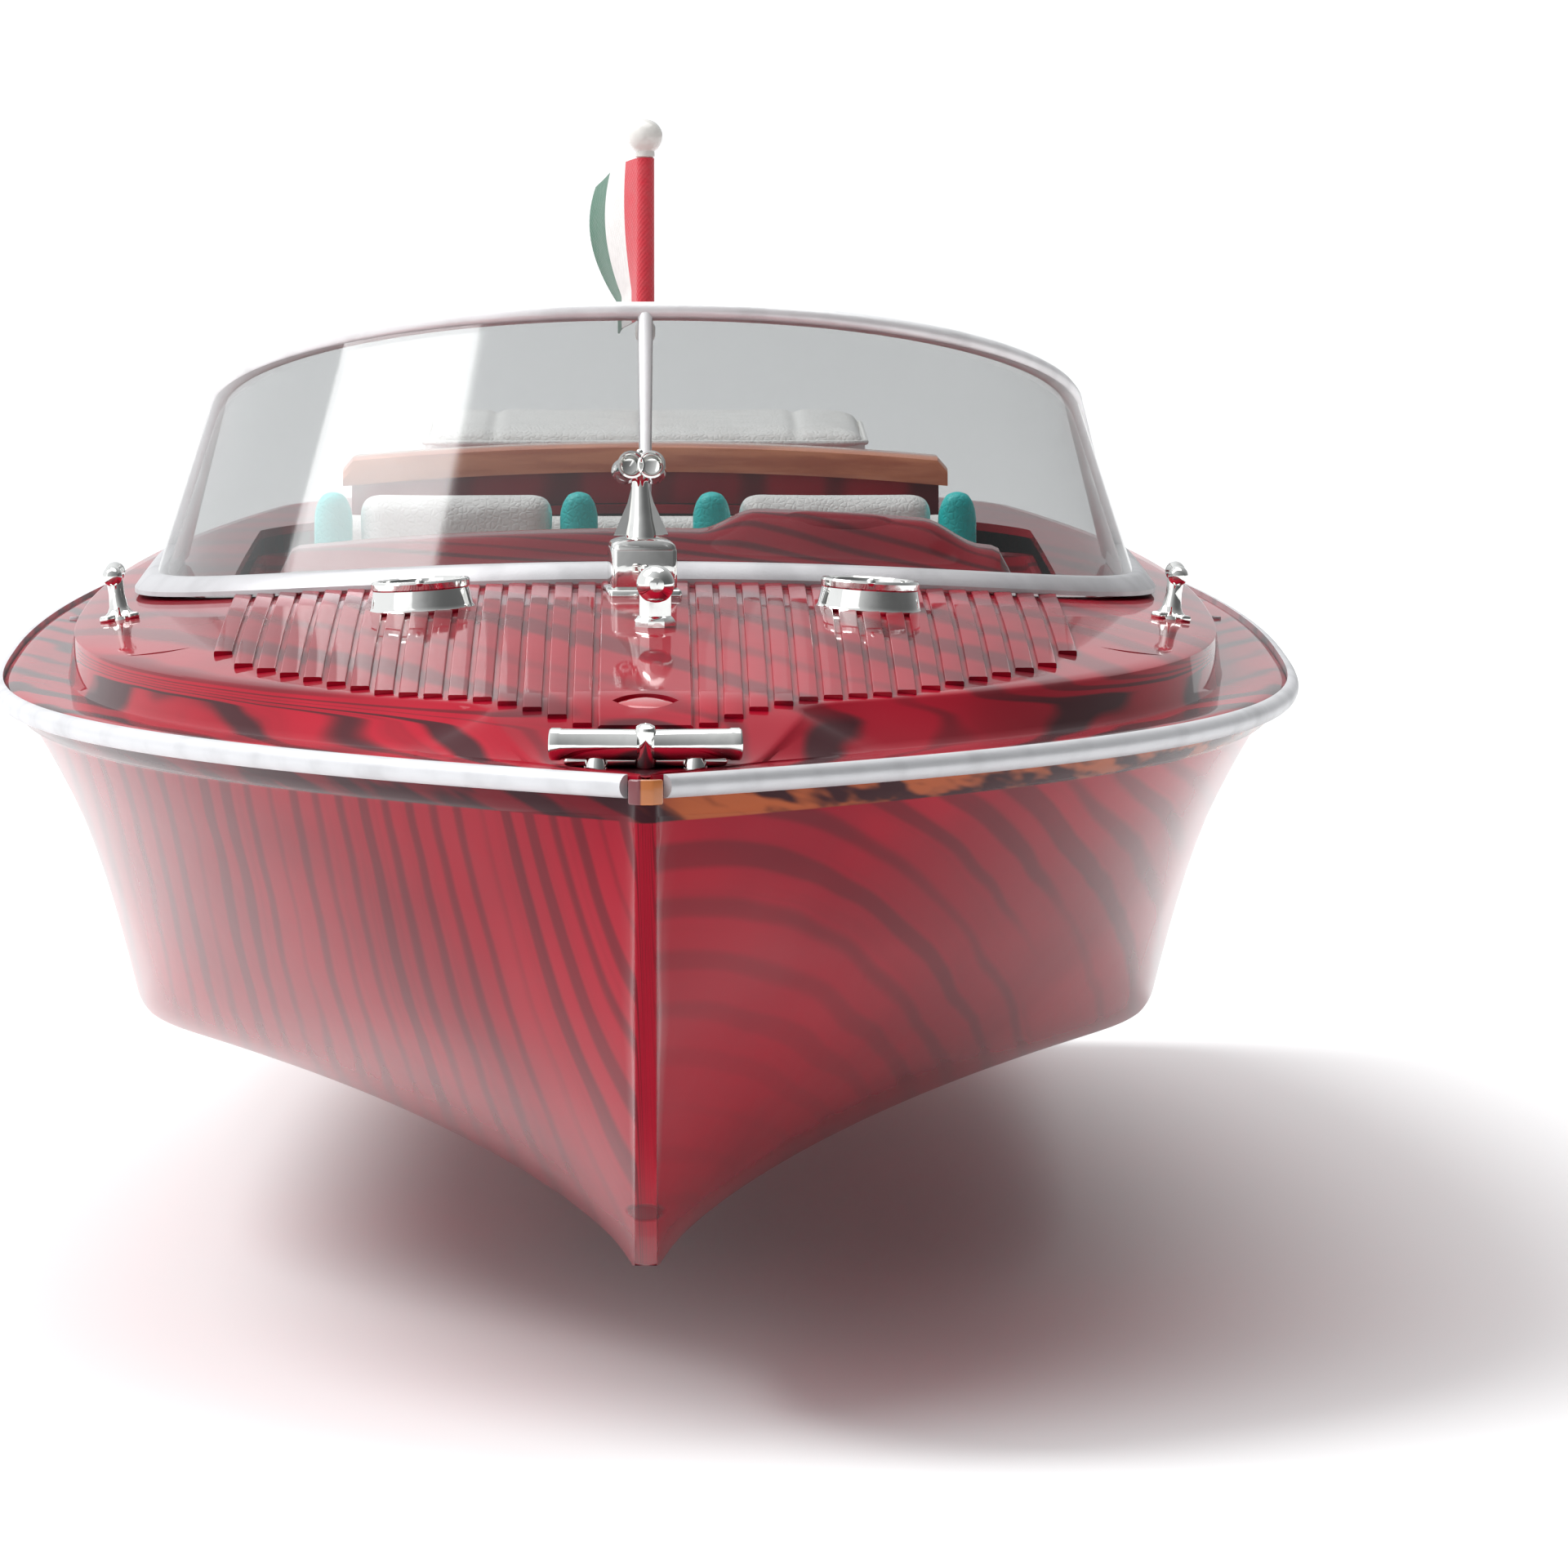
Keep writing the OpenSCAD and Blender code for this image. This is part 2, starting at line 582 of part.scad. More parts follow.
tube_r = 2;
tube_from = 22;
tube_len = 44;
coupling_from = 68;
motor_from = 84;
motor_len = 25;
motor_r = 7.5;
module shaft_line(side) {
    translate([side * shaft_x, propeller_y, propeller_z]) rotate([90 - shaft_slope, 0, 0]) children();
}
module propeller_shaft(side) {
    color("silver") afloat() shaft_line(side) translate([0, 0, -5])
        cylinder(r = shaft_r, h = coupling_from + 10);
}
module propeller(side) {
    color([0.85, 0.65, 0.3]) afloat() shaft_line(side) difference() {
        union() {
            translate([0, 0, -3]) cylinder(r = 2, h = 6);
            translate([0, 0, -5]) cylinder(r1 = 1.2, r2 = 2, h = 2);
            for (a = [90, 210, 330]) rotate([0, 0, a]) translate([1.5, 0, 0]) rotate([side * 35, 0, 0])
                intersection() {
                    translate([0, -3.2, -0.4]) cube([propeller_r - 1.7, 6.4, 0.8]);
                    translate([2.9, 0, -1]) cylinder(r = 4, h = 2);
                }
        }
        translate([0, 0, -6]) cylinder(r = shaft_r, h = 12);
    }
}
module stern_tube(side) {
    color([0.8, 0.62, 0.3]) afloat() shaft_line(side) difference() {
        translate([0, 0, tube_from]) cylinder(r = tube_r, h = tube_len);
        translate([0, 0, tube_from - 1]) cylinder(r = shaft_r + run_gap, h = tube_len + 2);
    }
}
module shaft_strut(side) {
    leg_z = 9;
    color("silver") afloat() shaft_line(side) difference() {
        union() {
            translate([0, 0, leg_z - 3]) cylinder(r = 2, h = 6);
            translate([-0.6, 1.2, leg_z - 2]) rotate([shaft_slope, 0, 0]) cube([1.2, 7.4, 4]);
        }
        translate([0, 0, 0]) cylinder(r = shaft_r + run_gap, h = 20);
    }
}
module shaft_coupling(side) {
    color([0.3, 0.3, 0.32]) afloat() shaft_line(side) difference() {
        translate([0, 0, coupling_from]) cylinder(r = 3, h = 12);
        translate([0, 0, coupling_from - 1]) cylinder(r = shaft_r, h = 6);
        translate([0, 0, coupling_from + 6]) cylinder(r = 0.75, h = 8);
    }
}
module motor_can(side) {
    color([0.7, 0.7, 0.72]) afloat() shaft_line(side) {
        translate([0, 0, motor_from]) cylinder(r = motor_r, h = motor_len);
        translate([0, 0, motor_from + motor_len]) cylinder(r = 3, h = 1.5);
        translate([0, 0, motor_from - 1.5]) cylinder(r = 3, h = 1.5);
        for (x = [-4.5, 4.5]) translate([x, 0, motor_from + motor_len + 1])
            cube([1.8, 0.5, 3], center = true);
    }
}
module motor_mount() {
    color([0.2, 0.2, 0.22]) afloat() difference() {
        shaft_line(0) translate([-29, -10.5, motor_from + 8]) cube([58, 10, 8]);
        for (side = [port, starboard]) shaft_line(side)
            translate([0, 0, motor_from - 5]) cylinder(r = motor_r + hair, h = 40);
        for (side = [port, starboard]) translate([side * 30, 296, -54.2]) rotate([0, -18 * side, 0])
            cube([80, 60, 20], center = true);
    }
}

// Steering: a servo turns the rudder through a pushrod between two equal arms.

stock_r = shaft_r;
rudder_tube_r = 2;
tiller_z = -20;
module rudder() {
    color([0.8, 0.62, 0.3]) afloat() translate([0, rudder_y, 0]) {
        translate([0, 0, keel_z(rudder_y) - 1.4])
            cylinder(r = stock_r, h = tiller_z + 2.4 - keel_z(rudder_y) + 1.4);
        translate([0, 0, -61.6]) linear_extrude(61.6 + keel_z(rudder_y) - 0.9)
            polygon([[0, -5], [0.8, -3.4], [0.95, -1], [0.7, 4], [0.25, 10], [-0.25, 10],
                [-0.7, 4], [-0.95, -1], [-0.8, -3.4]]);
    }
}
module rudder_tube() {
    color([0.8, 0.62, 0.3]) afloat() translate([0, rudder_y, keel_z(rudder_y) - 0.6]) difference() {
        cylinder(r = rudder_tube_r, h = tiller_z - 1.5 - keel_z(rudder_y));
        translate([0, 0, -1]) cylinder(r = stock_r + run_gap, h = 60);
    }
}
module arm(bore_r, bore_h) {
    difference() {
        union() {
            cylinder(r = 2.4, h = bore_h);
            translate([0, -1.2, 0]) cube([tiller_r, 2.4, 1.2]);
            translate([tiller_r, 0, 0]) cylinder(r = 1.6, h = 1.2);
        }
        translate([0, 0, -1]) cylinder(r = bore_r, h = bore_h + 2);
        translate([tiller_r, 0, -1]) cylinder(r = 0.5 + run_gap, h = 4);
    }
}
module tiller() {
    color([0.9, 0.9, 0.9]) afloat() translate([0, rudder_y, tiller_z]) arm(stock_r, 2.2);
}
module servo_body() {
    color([0.15, 0.25, 0.6]) afloat() translate([0, servo_y, tiller_z]) difference() {
        union() {
            translate([-6, -6, -24.5]) cube([12, 23, 22]);
            translate([-6, -10.5, -10]) cube([12, 32, 2]);
            translate([0, 0, -2.6]) cylinder(r = 4.5, h = 1.4);
            translate([0, 0, -1.4]) cylinder(r = 1.5, h = 2.6);
        }
    }
}
module servo_horn() {
    color([0.95, 0.95, 0.95]) afloat() translate([0, servo_y, tiller_z]) arm(1.5 + run_gap, 2.2);
}
rod_gap = 0.4;
module pushrod() {
    rod_z = tiller_z + 1.2 + rod_gap;
    color("silver") afloat() translate([tiller_r, 0, 0]) {
        translate([0, servo_y, rod_z + 0.5]) rotate([-90, 0, 0]) cylinder(r = 0.5, h = rudder_y - servo_y);
        translate([0, servo_y, tiller_z - 0.5]) cylinder(r = 0.5, h = 3);
        translate([0, rudder_y, rod_z]) cylinder(r = 0.5, h = 1);
    }
}

// Power and control

battery_y = 240;
battery_z = -44;
battery_size = [30, 66, 18];
module battery_tray() {
    color([0.2, 0.2, 0.22]) afloat() translate([0, battery_y, battery_z]) {
        difference() {
            translate([0, 0, 2.4]) cube([36, 72, 7.2], center = true);
            translate([0, 0, 5.1]) cube([33.2, 69.2, 10.2], center = true);
            for (side = [port, starboard]) translate([side * 18, 0, -2.4]) rotate([0, -18 * side, 0])
                cube([14, 80, 2], center = true);
        }
        translate([-1, -30, -6.6]) cube([2, 60, 6]);
    }
}
module battery_pack() {
    color([0.1, 0.35, 0.65]) afloat()
        translate([0, battery_y, battery_z + 0.05 + battery_size[2] / 2]) cube(battery_size, center = true);
}
module battery_strap() {
    color([0.12, 0.12, 0.12]) afloat() translate([0, battery_y, battery_z + 0.05]) difference() {
        translate([0, 0, 9.7]) cube([32.6, 10, 19.4], center = true);
        translate([0, 0, 8.1]) cube([30.1, 12, 20], center = true);
    }
}
module receiver() {
    color([0.1, 0.4, 0.2]) afloat() translate([-22, 362, -34]) {
        cube([20, 30, 1.2], center = true);
        translate([0, 3, 2.4]) cube([15, 18, 3.6], center = true);
        for (y = [-12, -8]) translate([4, y, 2.5]) cube([6, 2.5, 3.8], center = true);
    }
}
switch_at = [24, 345, -14];
module switch_body() {
    color([0.1, 0.1, 0.1]) afloat() translate(switch_at) difference() {
        cube([12, 6, 7], center = true);
        translate([0, 0, 3]) cube([7, 2.6, 3], center = true);
    }
}
module switch_slider() {
    color([0.8, 0.1, 0.1]) afloat() translate(switch_at) translate([-1.7, 0, 3.35])
        cube([3, 2.4, 3.2], center = true);
}
module wiring() {
    color([0.7, 0.1, 0.1]) afloat() for (side = [port, starboard])
        round_bar([[side * 24.5, 281, -27], [side * 26, 277, -27], [side * 30, 276, -27],
            [side * 33, 282, -27], [side * 33, 300, -27], [side * 31, 322, -27],
            [side * 27, 340, -27]], 0.6, 6);
}

module deck_screws() {
    color("silver") afloat() for (side = [port, starboard]) for (y = [240, 300, 360, 415])
        translate([side * (side_half(y) - 3.4), y, 0.96]) {
            cylinder(r = 0.9, h = 0.35);
            translate([0, 0, -0.3]) cylinder(r = 0.5, h = 0.4);
        }
}

hull_shell();
deck_shell();
rub_rail(port);  // rub_rail_port
rub_rail(starboard);  // rub_rail_starboard
stem_cap();
windscreen_glass();
windscreen_top_rail();
windscreen_base_band();
cockpit_tub();
dashboard();
gauge_bezels();
steering_wheel();
front_seat(port);  // front_seat_port
front_seat(starboard);  // front_seat_starboard
seat_bolsters();
rear_bench();
cockpit_trim();
bow_chock();
bow_bollard();
signal_horn();
foredeck_vent(port);  // foredeck_vent_port
foredeck_vent(starboard);  // foredeck_vent_starboard
side_cleat(port);  // side_cleat_port
side_cleat(starboard);  // side_cleat_starboard
staff_socket();
flagstaff();
flag();
hatch_cover();
sunpad();
hinge_leaf();
hinge_pin();
hatch_latch();
motor_mount();
motor_can(port);  // motor_can_port
motor_can(starboard);  // motor_can_starboard
shaft_coupling(port);  // shaft_coupling_port
shaft_coupling(starboard);  // shaft_coupling_starboard
propeller_shaft(port);  // propeller_shaft_port
propeller_shaft(starboard);  // propeller_shaft_starboard
stern_tube(port);  // stern_tube_port
stern_tube(starboard);  // stern_tube_starboard
shaft_strut(port);  // shaft_strut_port
shaft_strut(starboard);  // shaft_strut_starboard
propeller(port);  // propeller_port
propeller(starboard);  // propeller_starboard
rudder_tube();
rudder();
tiller();
servo_body();
servo_horn();
pushrod();
battery_tray();
battery_pack();
battery_strap();
receiver();
switch_body();
switch_slider();
wiring();
deck_screws();
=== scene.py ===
"""A radio-controlled mahogany runabout: its finishes and fine detail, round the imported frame."""

import math

import bmesh
import bpy
import numpy as np
from mathutils import Matrix, Vector


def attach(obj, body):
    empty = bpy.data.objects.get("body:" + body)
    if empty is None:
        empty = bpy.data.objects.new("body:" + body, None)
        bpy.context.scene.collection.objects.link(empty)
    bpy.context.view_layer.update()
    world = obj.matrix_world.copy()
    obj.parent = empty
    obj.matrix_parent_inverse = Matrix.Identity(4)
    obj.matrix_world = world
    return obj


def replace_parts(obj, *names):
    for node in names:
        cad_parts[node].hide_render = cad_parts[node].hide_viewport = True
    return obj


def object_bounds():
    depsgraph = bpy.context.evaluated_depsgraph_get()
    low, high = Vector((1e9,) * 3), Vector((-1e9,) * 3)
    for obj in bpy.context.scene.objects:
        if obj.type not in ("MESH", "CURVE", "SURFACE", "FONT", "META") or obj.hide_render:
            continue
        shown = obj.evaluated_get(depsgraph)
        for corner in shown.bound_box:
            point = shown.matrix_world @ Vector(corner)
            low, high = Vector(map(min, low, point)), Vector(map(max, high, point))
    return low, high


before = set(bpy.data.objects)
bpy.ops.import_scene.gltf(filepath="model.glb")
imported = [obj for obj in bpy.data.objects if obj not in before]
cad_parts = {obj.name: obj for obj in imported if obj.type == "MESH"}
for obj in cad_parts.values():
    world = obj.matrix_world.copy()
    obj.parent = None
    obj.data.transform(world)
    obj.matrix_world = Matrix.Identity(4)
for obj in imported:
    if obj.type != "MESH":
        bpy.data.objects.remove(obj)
cad_low, cad_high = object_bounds()


# Moulded hull: one thin plastic shell with a sharp stem, hollow bow sections and a hard chine.
# It is printed with a mahogany grain and lacquered, and a paler band runs round under its rail.

MM = 0.001
HULL_LEN = 440
HALF_BEAM = 65
TRANSOM_HALF = 41
MIDSHIP_Y = 190
STEM_Y = 1.5
SHELL_T = 1.6
FOOT_DEPTH = 48.5
STEM_CHINE_Z = -18
BASE_Z = 61.8
STERN_REACH = cad_high.y / MM
PORT, STARBOARD = 1, -1
SMOOTH_ANGLE = math.radians(32)

BAND_DEPTH = 3.3
BAND_STEP = 0.75
HULL_FRAMES = 120


def mix(a, b, t):
    return a + (b - a) * t


def clamped(t):
    return min(1.0, max(0.0, t))


def eased(t):
    c = clamped(t)
    return c * c * (3 - 2 * c)


def afloat(x, y, z):
    """From the drawing, y aft of the stem head and z above the sheer in mm, to the frame."""
    return Vector((x * MM, y * MM - STERN_REACH * MM, (z + BASE_Z) * MM))


def side_half(y):
    if y < MIDSHIP_Y:
        ahead = 1 - max(0.0, y - STEM_Y) / (MIDSHIP_Y - STEM_Y)
        return HALF_BEAM * (1 - ahead**3.3)
    aft = (y - MIDSHIP_Y) / (HULL_LEN - MIDSHIP_Y)
    return HALF_BEAM - (HALF_BEAM - TRANSOM_HALF) * aft**2


def chine_half(y):
    if y < 230:
        return 53 * (1 - (1 - max(0.0, y - 6) / 224) ** 2.2)
    return 53 - 7 * ((y - 230) / 210) ** 2


def chine_z(y):
    return STEM_CHINE_Z - 21 * math.sin(math.radians(90 * clamped(y / 250))) ** 1.2


def keel_z(y):
    return -53.5 + 5 * (max(0.0, 170 - y) / 121) ** 2.2 + 6 * (max(0.0, y - 260) / 180) ** 2


def stem_run(z):
    return 0.2 * abs(z) + 38 * (abs(z) / FOOT_DEPTH) ** 5


def stem_lean(v):
    z = STEM_CHINE_Z * v / 0.5 if v < 0.5 else mix(STEM_CHINE_Z, -FOOT_DEPTH, (v - 0.5) / 0.5)
    return stem_run(z) / stem_run(FOOT_DEPTH)


def hull_section(u, t, outside):
    """One side of a frame from sheer to keel, t inside the skin."""
    first, last = STEM_Y + 2.5 * t, HULL_LEN - t
    y = mix(first, last, u**1.35)
    run = (stem_run(FOOT_DEPTH) - 1.5 * t) * (1 - u) ** 3
    narrow = 1 - t / 3
    sheer = (max(narrow, side_half(y) - t), 0)
    at_chine = y + run * stem_lean(0.5)
    chine = (max(narrow, chine_half(at_chine) - 1.2 * t), chine_z(at_chine) + 0.9 * t)
    keel = (mix(1, 1.5, clamped(6 * u)) - t / 3, keel_z(y + run) + 1.3 * t)
    turn = mix(0.85, 0.07, eased(y / 190))
    flare = mix(2.4, 0.7, clamped(y / 150)) * clamped(8 * u)
    hollow = 0.8 * clamped(8 * u)
    below = BAND_DEPTH / abs(chine[1])
    shares = [0, 0.25 * below, 0.6 * below, 0.85 * below, 0.97 * below, below, 1.04 * below]
    shares += [mix(1.12 * below, 1 - turn, i / 10) for i in range(11)]
    points = [(mix(sheer[0], chine[0], a), mix(0, chine[1], a), a / 2) for a in shares]
    for i in range(1, 8):
        s = i / 8
        p = [mix(sheer[k], chine[k], 1 - turn) for k in (0, 1)]
        q = [mix(chine[k], keel[k], turn) for k in (0, 1)]
        bend = [mix(mix(p[k], chine[k], s), mix(chine[k], q[k], s), s) for k in (0, 1)]
        points.append((*bend, mix((1 - turn) / 2, (1 + turn) / 2, s)))
    for i in range(12):
        b = mix(turn, 1, i / 11)
        points.append((mix(chine[0], keel[0], b), mix(chine[1], keel[1], b), (1 + b) / 2))
    row = []
    for x, z, v in points:
        wave = math.sin(2 * math.pi * v)
        x -= flare * max(0.0, wave) if v < 0.5 else 0
        z += hollow * max(0.0, -wave) if v > 0.5 else 0
        depth = -z
        if outside and v < 0.5:
            fade = clamped((0.5 - v) / 0.3) * clamped(10 * u)
            x -= BAND_STEP * fade * eased((depth - BAND_DEPTH * 0.84) / (BAND_DEPTH * 0.18))
        row.append((max(narrow, x), y + run * stem_lean(v), z))
    return row


def both_sides(half):
    return [(-x, y, z) for x, y, z in half] + half[::-1]


def grid_faces(rows, start=0, closed=False):
    n, k = len(rows), len(rows[0])
    last = k if closed else k - 1
    return [
        (
            start + i * k + j, start + i * k + (j + 1) % k, start + (i + 1) * k + (j + 1) % k,
            start + (i + 1) * k + j
        )
        for i in range(n - 1)
        for j in range(last)
    ]


def wall(outer, inner):
    """A closed skin between two grids of one size."""
    n, k = len(outer), len(outer[0])
    m = n * k
    points = [p for row in outer for p in row] + [p for row in inner for p in row]
    faces = grid_faces(outer) + grid_faces(inner, m)
    for i in range(n - 1):
        for j in (0, k - 1):
            a, b = i * k + j, (i + 1) * k + j
            faces.append((a, b, b + m, a + m))
    for i in (0, n - 1):
        for j in range(k - 1):
            a, b = i * k + j, i * k + j + 1
            faces.append((a, b, b + m, a + m))
    return points, faces


def placed(name, data):
    """An object in the scene for a mesh, a light or a camera."""
    thing = bpy.data.objects.new(name, data)
    bpy.context.scene.collection.objects.link(thing)
    return thing


def built(name, shape, finish, angle=SMOOTH_ANGLE):
    """An object from points and faces in the drawing's mm."""
    points, faces = shape
    mesh = bpy.data.meshes.new(name)
    mesh.from_pydata([afloat(*p) for p in points], [], faces)
    bm = bmesh.new()
    bm.from_mesh(mesh)
    bmesh.ops.remove_doubles(bm, verts=bm.verts, dist=2e-6)
    bmesh.ops.dissolve_degenerate(bm, edges=bm.edges, dist=1e-6)
    bmesh.ops.recalc_face_normals(bm, faces=bm.faces)
    bm.to_mesh(mesh)
    bm.free()
    mesh.shade_smooth()
    mesh.set_sharp_from_angle(angle=angle)
    piece = placed(name, mesh)
    mesh.materials.append(finish.material)
    return piece


class Shade:
    """A socket in a finish: arithmetic on it adds Math nodes."""

    def __init__(self, finish, socket):
        self.finish, self.socket = finish, socket

    def maths(self, operation, *others):
        values = dict(enumerate((self, *others)))
        return self.finish.add("ShaderNodeMath", {"operation": operation}, values)

    def __add__(self, other):
        return self.maths("ADD", other)

    def __sub__(self, other):
        return self.maths("SUBTRACT", other)

    def __rsub__(self, other):
        return self * -1 + other

    def __mul__(self, other):
        return self.maths("MULTIPLY", other)

    def __truediv__(self, other):
        return self.maths("DIVIDE", other)

    def __pow__(self, other):
        return self.maths("POWER", other)

    __radd__ = __add__
    __rmul__ = __mul__

    def rising(self, low, high):
        """0 below low and 1 above high, eased in between."""
        settings = {"interpolation_type": "SMOOTHSTEP"}
        return self.finish.add("ShaderNodeMapRange", settings, {0: self, 1: low, 2: high})


class Finish:
    """A material with one Principled surface, built from nodes."""

    def __init__(self, name, **surface):
        self.material = bpy.data.materials.new(name)
        self.material.use_nodes = True
        self.tree = self.material.node_tree
        self.surface = self.tree.nodes["Principled BSDF"]
        for socket, value in surface.items():
            self.surface.inputs[socket.replace("_", " ")].default_value = value
        self.place = self.add("ShaderNodeTexCoord", {}, {}, "Object")

    def add(self, kind, settings, sockets, output=0):
        """A node of a kind: its settings first, then the values or links of its sockets."""
        node = self.tree.nodes.new(kind)
        for key, value in settings.items():
            if key == "stops":
                while len(node.color_ramp.elements) < len(value):
                    node.color_ramp.elements.new(0.5)
                for element, (position, colour) in zip(node.color_ramp.elements, value):
                    element.position = position
                    element.color = (*colour, 1)
            else:
                setattr(node, key, value)
        for key, value in sockets.items():
            if isinstance(value, Shade):
                self.tree.links.new(value.socket, node.inputs[key])
            else:
                node.inputs[key].default_value = value
        return Shade(self, node.outputs[output])

    def axes(self):
        """The object's coordinates in the drawing's mm."""
        parts = self.add("ShaderNodeSeparateXYZ", {}, {0: self.place})
        x, y, z = (Shade(self, s) for s in parts.socket.node.outputs)
        return x * 1000, y * 1000 + STERN_REACH, z * 1000 - BASE_Z

    def vector(self, x, y, z):
        return self.add("ShaderNodeCombineXYZ", {}, {0: x, 1: y, 2: z})

    def noise(self, where, scale, detail=2.0, roughness=0.5):
        sockets = {"Vector": where, "Scale": scale, "Detail": detail, "Roughness": roughness}
        return self.add("ShaderNodeTexNoise", {}, sockets)

    def blend(self, factor, first, second):
        sockets = {0: factor}
        for key, colour in ((6, first), (7, second)):
            sockets[key] = colour if isinstance(colour, Shade) else (*colour, 1)
        return self.add("ShaderNodeMix", {"data_type": "RGBA"}, sockets, 2)

    def feed(self, **shades):
        for socket, shade in shades.items():
            self.tree.links.new(shade.socket, self.surface.inputs[socket.replace("_", " ")])

    def relief(self, height, depth_mm, strength=1.0):
        sockets = {"Height": height, "Distance": depth_mm * MM, "Strength": strength}
        self.feed(Normal=self.add("ShaderNodeBump", {}, sockets))


CRIMSON = (0.30, 0.003, 0.018)
BRIGHT_RED = (0.42, 0.004, 0.022)
WINE = (0.14, 0.004, 0.012)
GROWTH_LINE = (0.035, 0.006, 0.010)
PALE_BAND = (0.42, 0.10, 0.035)


def mahogany(finish, across, along, spacing, darkness=1.0, ground=(CRIMSON, BRIGHT_RED)):
    """The printed grain: dark growth lines of uneven width over red with paler clouds."""
    x, y, z = finish.axes()
    wander = finish.noise(finish.vector(x / 55, y / 90, z / 55), 1.0, 3.0) - 0.5
    flow = across / spacing + wander * 1.8
    uneven = finish.noise(finish.vector(flow * 0.55, along / 120, 3.7), 1.0, 2.0)
    fine = finish.noise(finish.vector(flow * 3.1, along / 90, 9.1), 1.0, 3.0)
    wave = (flow * 6.283).maths("SINE") * 0.5 + (uneven - 0.5) * 2.2
    clouds = finish.noise(finish.vector(x / 24, y / 60, z / 24), 1.0, 2.0)
    shade = finish.blend(clouds.rising(0.35, 0.7), *ground)
    shade = finish.blend(fine.rising(0.5, 0.78) * 0.4 * darkness, shade, WINE)
    return finish.blend(wave.rising(0.0, 0.55) * darkness, shade, GROWTH_LINE)


def lacquered(name, gloss=0.05, flat=0.16, edge=0.5):
    """Printed plastic under clear lacquer of nearly its own index: only the lacquer shines."""
    finish = Finish(name, Roughness=0.45, IOR=1.1, Coat_Roughness=gloss, Coat_IOR=1.4)
    facing = finish.add("ShaderNodeLayerWeight", {}, {"Blend": 0.5}, "Facing")
    finish.feed(Coat_Weight=facing**3 * edge + flat)
    return finish


def hull_finish():
    finish = lacquered("hull_mahogany", 0.12, 0.22, 0.62)
    x, y, z = finish.axes()
    bowed = (x / 20).maths("EXPONENT").maths("MINIMUM", 1.0) * 0.26 + 0.05
    sweep = ((z + 18) / 11).maths("SINE") * (bowed * 4.5)
    upright = (x + z * bowed + sweep) * 1.85
    swirl = (x * x + (z + 44) * (z + 44) * 0.8) ** 0.5
    on_port = x.rising(-0.9, 0.9)
    across = upright * (1 - on_port) + swirl * on_port
    plain = (swirl.rising(12.0, 40.0) * 0.42 + 0.1) * on_port + 0.55 * (1 - on_port)
    wood = mahogany(finish, across, y, 4.1, plain)
    under_rail = z.rising(-BAND_DEPTH - 0.1, -BAND_DEPTH + 0.1)
    slanted = finish.noise(finish.vector(x / 4.5 + z * 0.4, y / 9, z / 6), 1.0, 2.0)
    band = finish.blend(slanted.rising(0.42, 0.62), PALE_BAND, GROWTH_LINE)
    dark_band = finish.blend(slanted.rising(0.4, 0.6), WINE, GROWTH_LINE)
    band = finish.blend(x.rising(-2, 4), dark_band, band)
    # A small notch near the stem foot: its mask dents the surface by bump and paints it darker inside as
    # painted shade.
    forward = 1 - y.rising(30, 45)
    foot = (x * x * 0.32 + (z + 41.3 + x * x * 0.10) * (z + 41.3 + x * x * 0.10)) ** 0.5
    notch_with_painted_shade = (1 - foot.rising(0.75, 1.15)) * forward
    wood = finish.blend(notch_with_painted_shade * 0.75, wood, (0.10, 0.0, 0.006))
    # Painted shade: the starboard side, which the lamps light most, is blended a quarter of the way to
    # near-black.
    wood = finish.blend((1 - on_port) * 0.25, wood, (0.03, 0.002, 0.006))
    finish.feed(Base_Color=finish.blend(under_rail, wood, band))
    ripple = finish.noise(finish.place, 90.0, 2.0)
    finish.relief(ripple * 0.12 - notch_with_painted_shade, 0.5)
    return finish


outside = [hull_section(i / HULL_FRAMES, 0, True) for i in range(HULL_FRAMES + 1)]
inside = [hull_section(i / HULL_FRAMES, SHELL_T, False) for i in range(HULL_FRAMES + 1)]
NOSE_TURN = math.radians(45)
rounded_stem = []
for a in (math.radians(1), math.radians(12), math.radians(23), math.radians(34)):
    reach = (math.cos(a) - math.cos(NOSE_TURN)) / math.sin(NOSE_TURN)
    rounded_stem.append(
        [(x * math.sin(a) / math.sin(NOSE_TURN), y - x * reach, z) for x, y, z in outside[0]]
    )
outside = [both_sides(row) for row in rounded_stem + outside]
inside = [both_sides(row) for row in inside[:1] * 4 + inside]
hull_points, hull_faces = wall(outside, inside)
row_len, wall_start = len(outside[0]), len(outside) * len(outside[0])


def closing_faces(start, row):
    """Joins one row's two sides, as at the stem and the transom."""
    first = start + row * row_len
    return [
        (first + j, first + j + 1, first + row_len - 2 - j, first + row_len - 1 - j)
        for j in range(row_len // 2 - 1)
    ]


end_ribs = {(i * row_len + j) for i in (0, len(outside) - 1) for j in range(row_len)}
hull_faces = [
    f
    for f in hull_faces
    if not (f[0] in end_ribs and f[1] in end_ribs and f[2] >= wall_start and abs(f[1] - f[0]) == 1)
]
last_row = len(outside) - 1
for start in (0, wall_start):
    hull_faces += closing_faces(start, 0) + closing_faces(start, last_row)
for row in (0, last_row):
    a, b = row * row_len, row * row_len + row_len - 1
    hull_faces.append((a, b, b + wall_start, a + wall_start))

wood_hull = hull_finish()
hull = built("moulded_hull", (hull_points, hull_faces), wood_hull, angle=math.radians(58))
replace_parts(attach(hull, "hull"), "hull_shell")


# Deck: one moulding with a raised platform, steep sides down to a flat covering ledge, and the
# openings for the cockpit and the hatch. It drops onto the hull and is printed like it.

LEDGE_W = 6.5
PLATFORM_H = 5.5
DECK_T = 0.9
DECK_STATIONS = 190
DEEP_RED = (0.27, 0.002, 0.014)
CLEAR_RED = (0.40, 0.003, 0.020)


def stern_fall(y):
    return (max(0.0, y - 385) / (HULL_LEN - 385)) ** 2.2


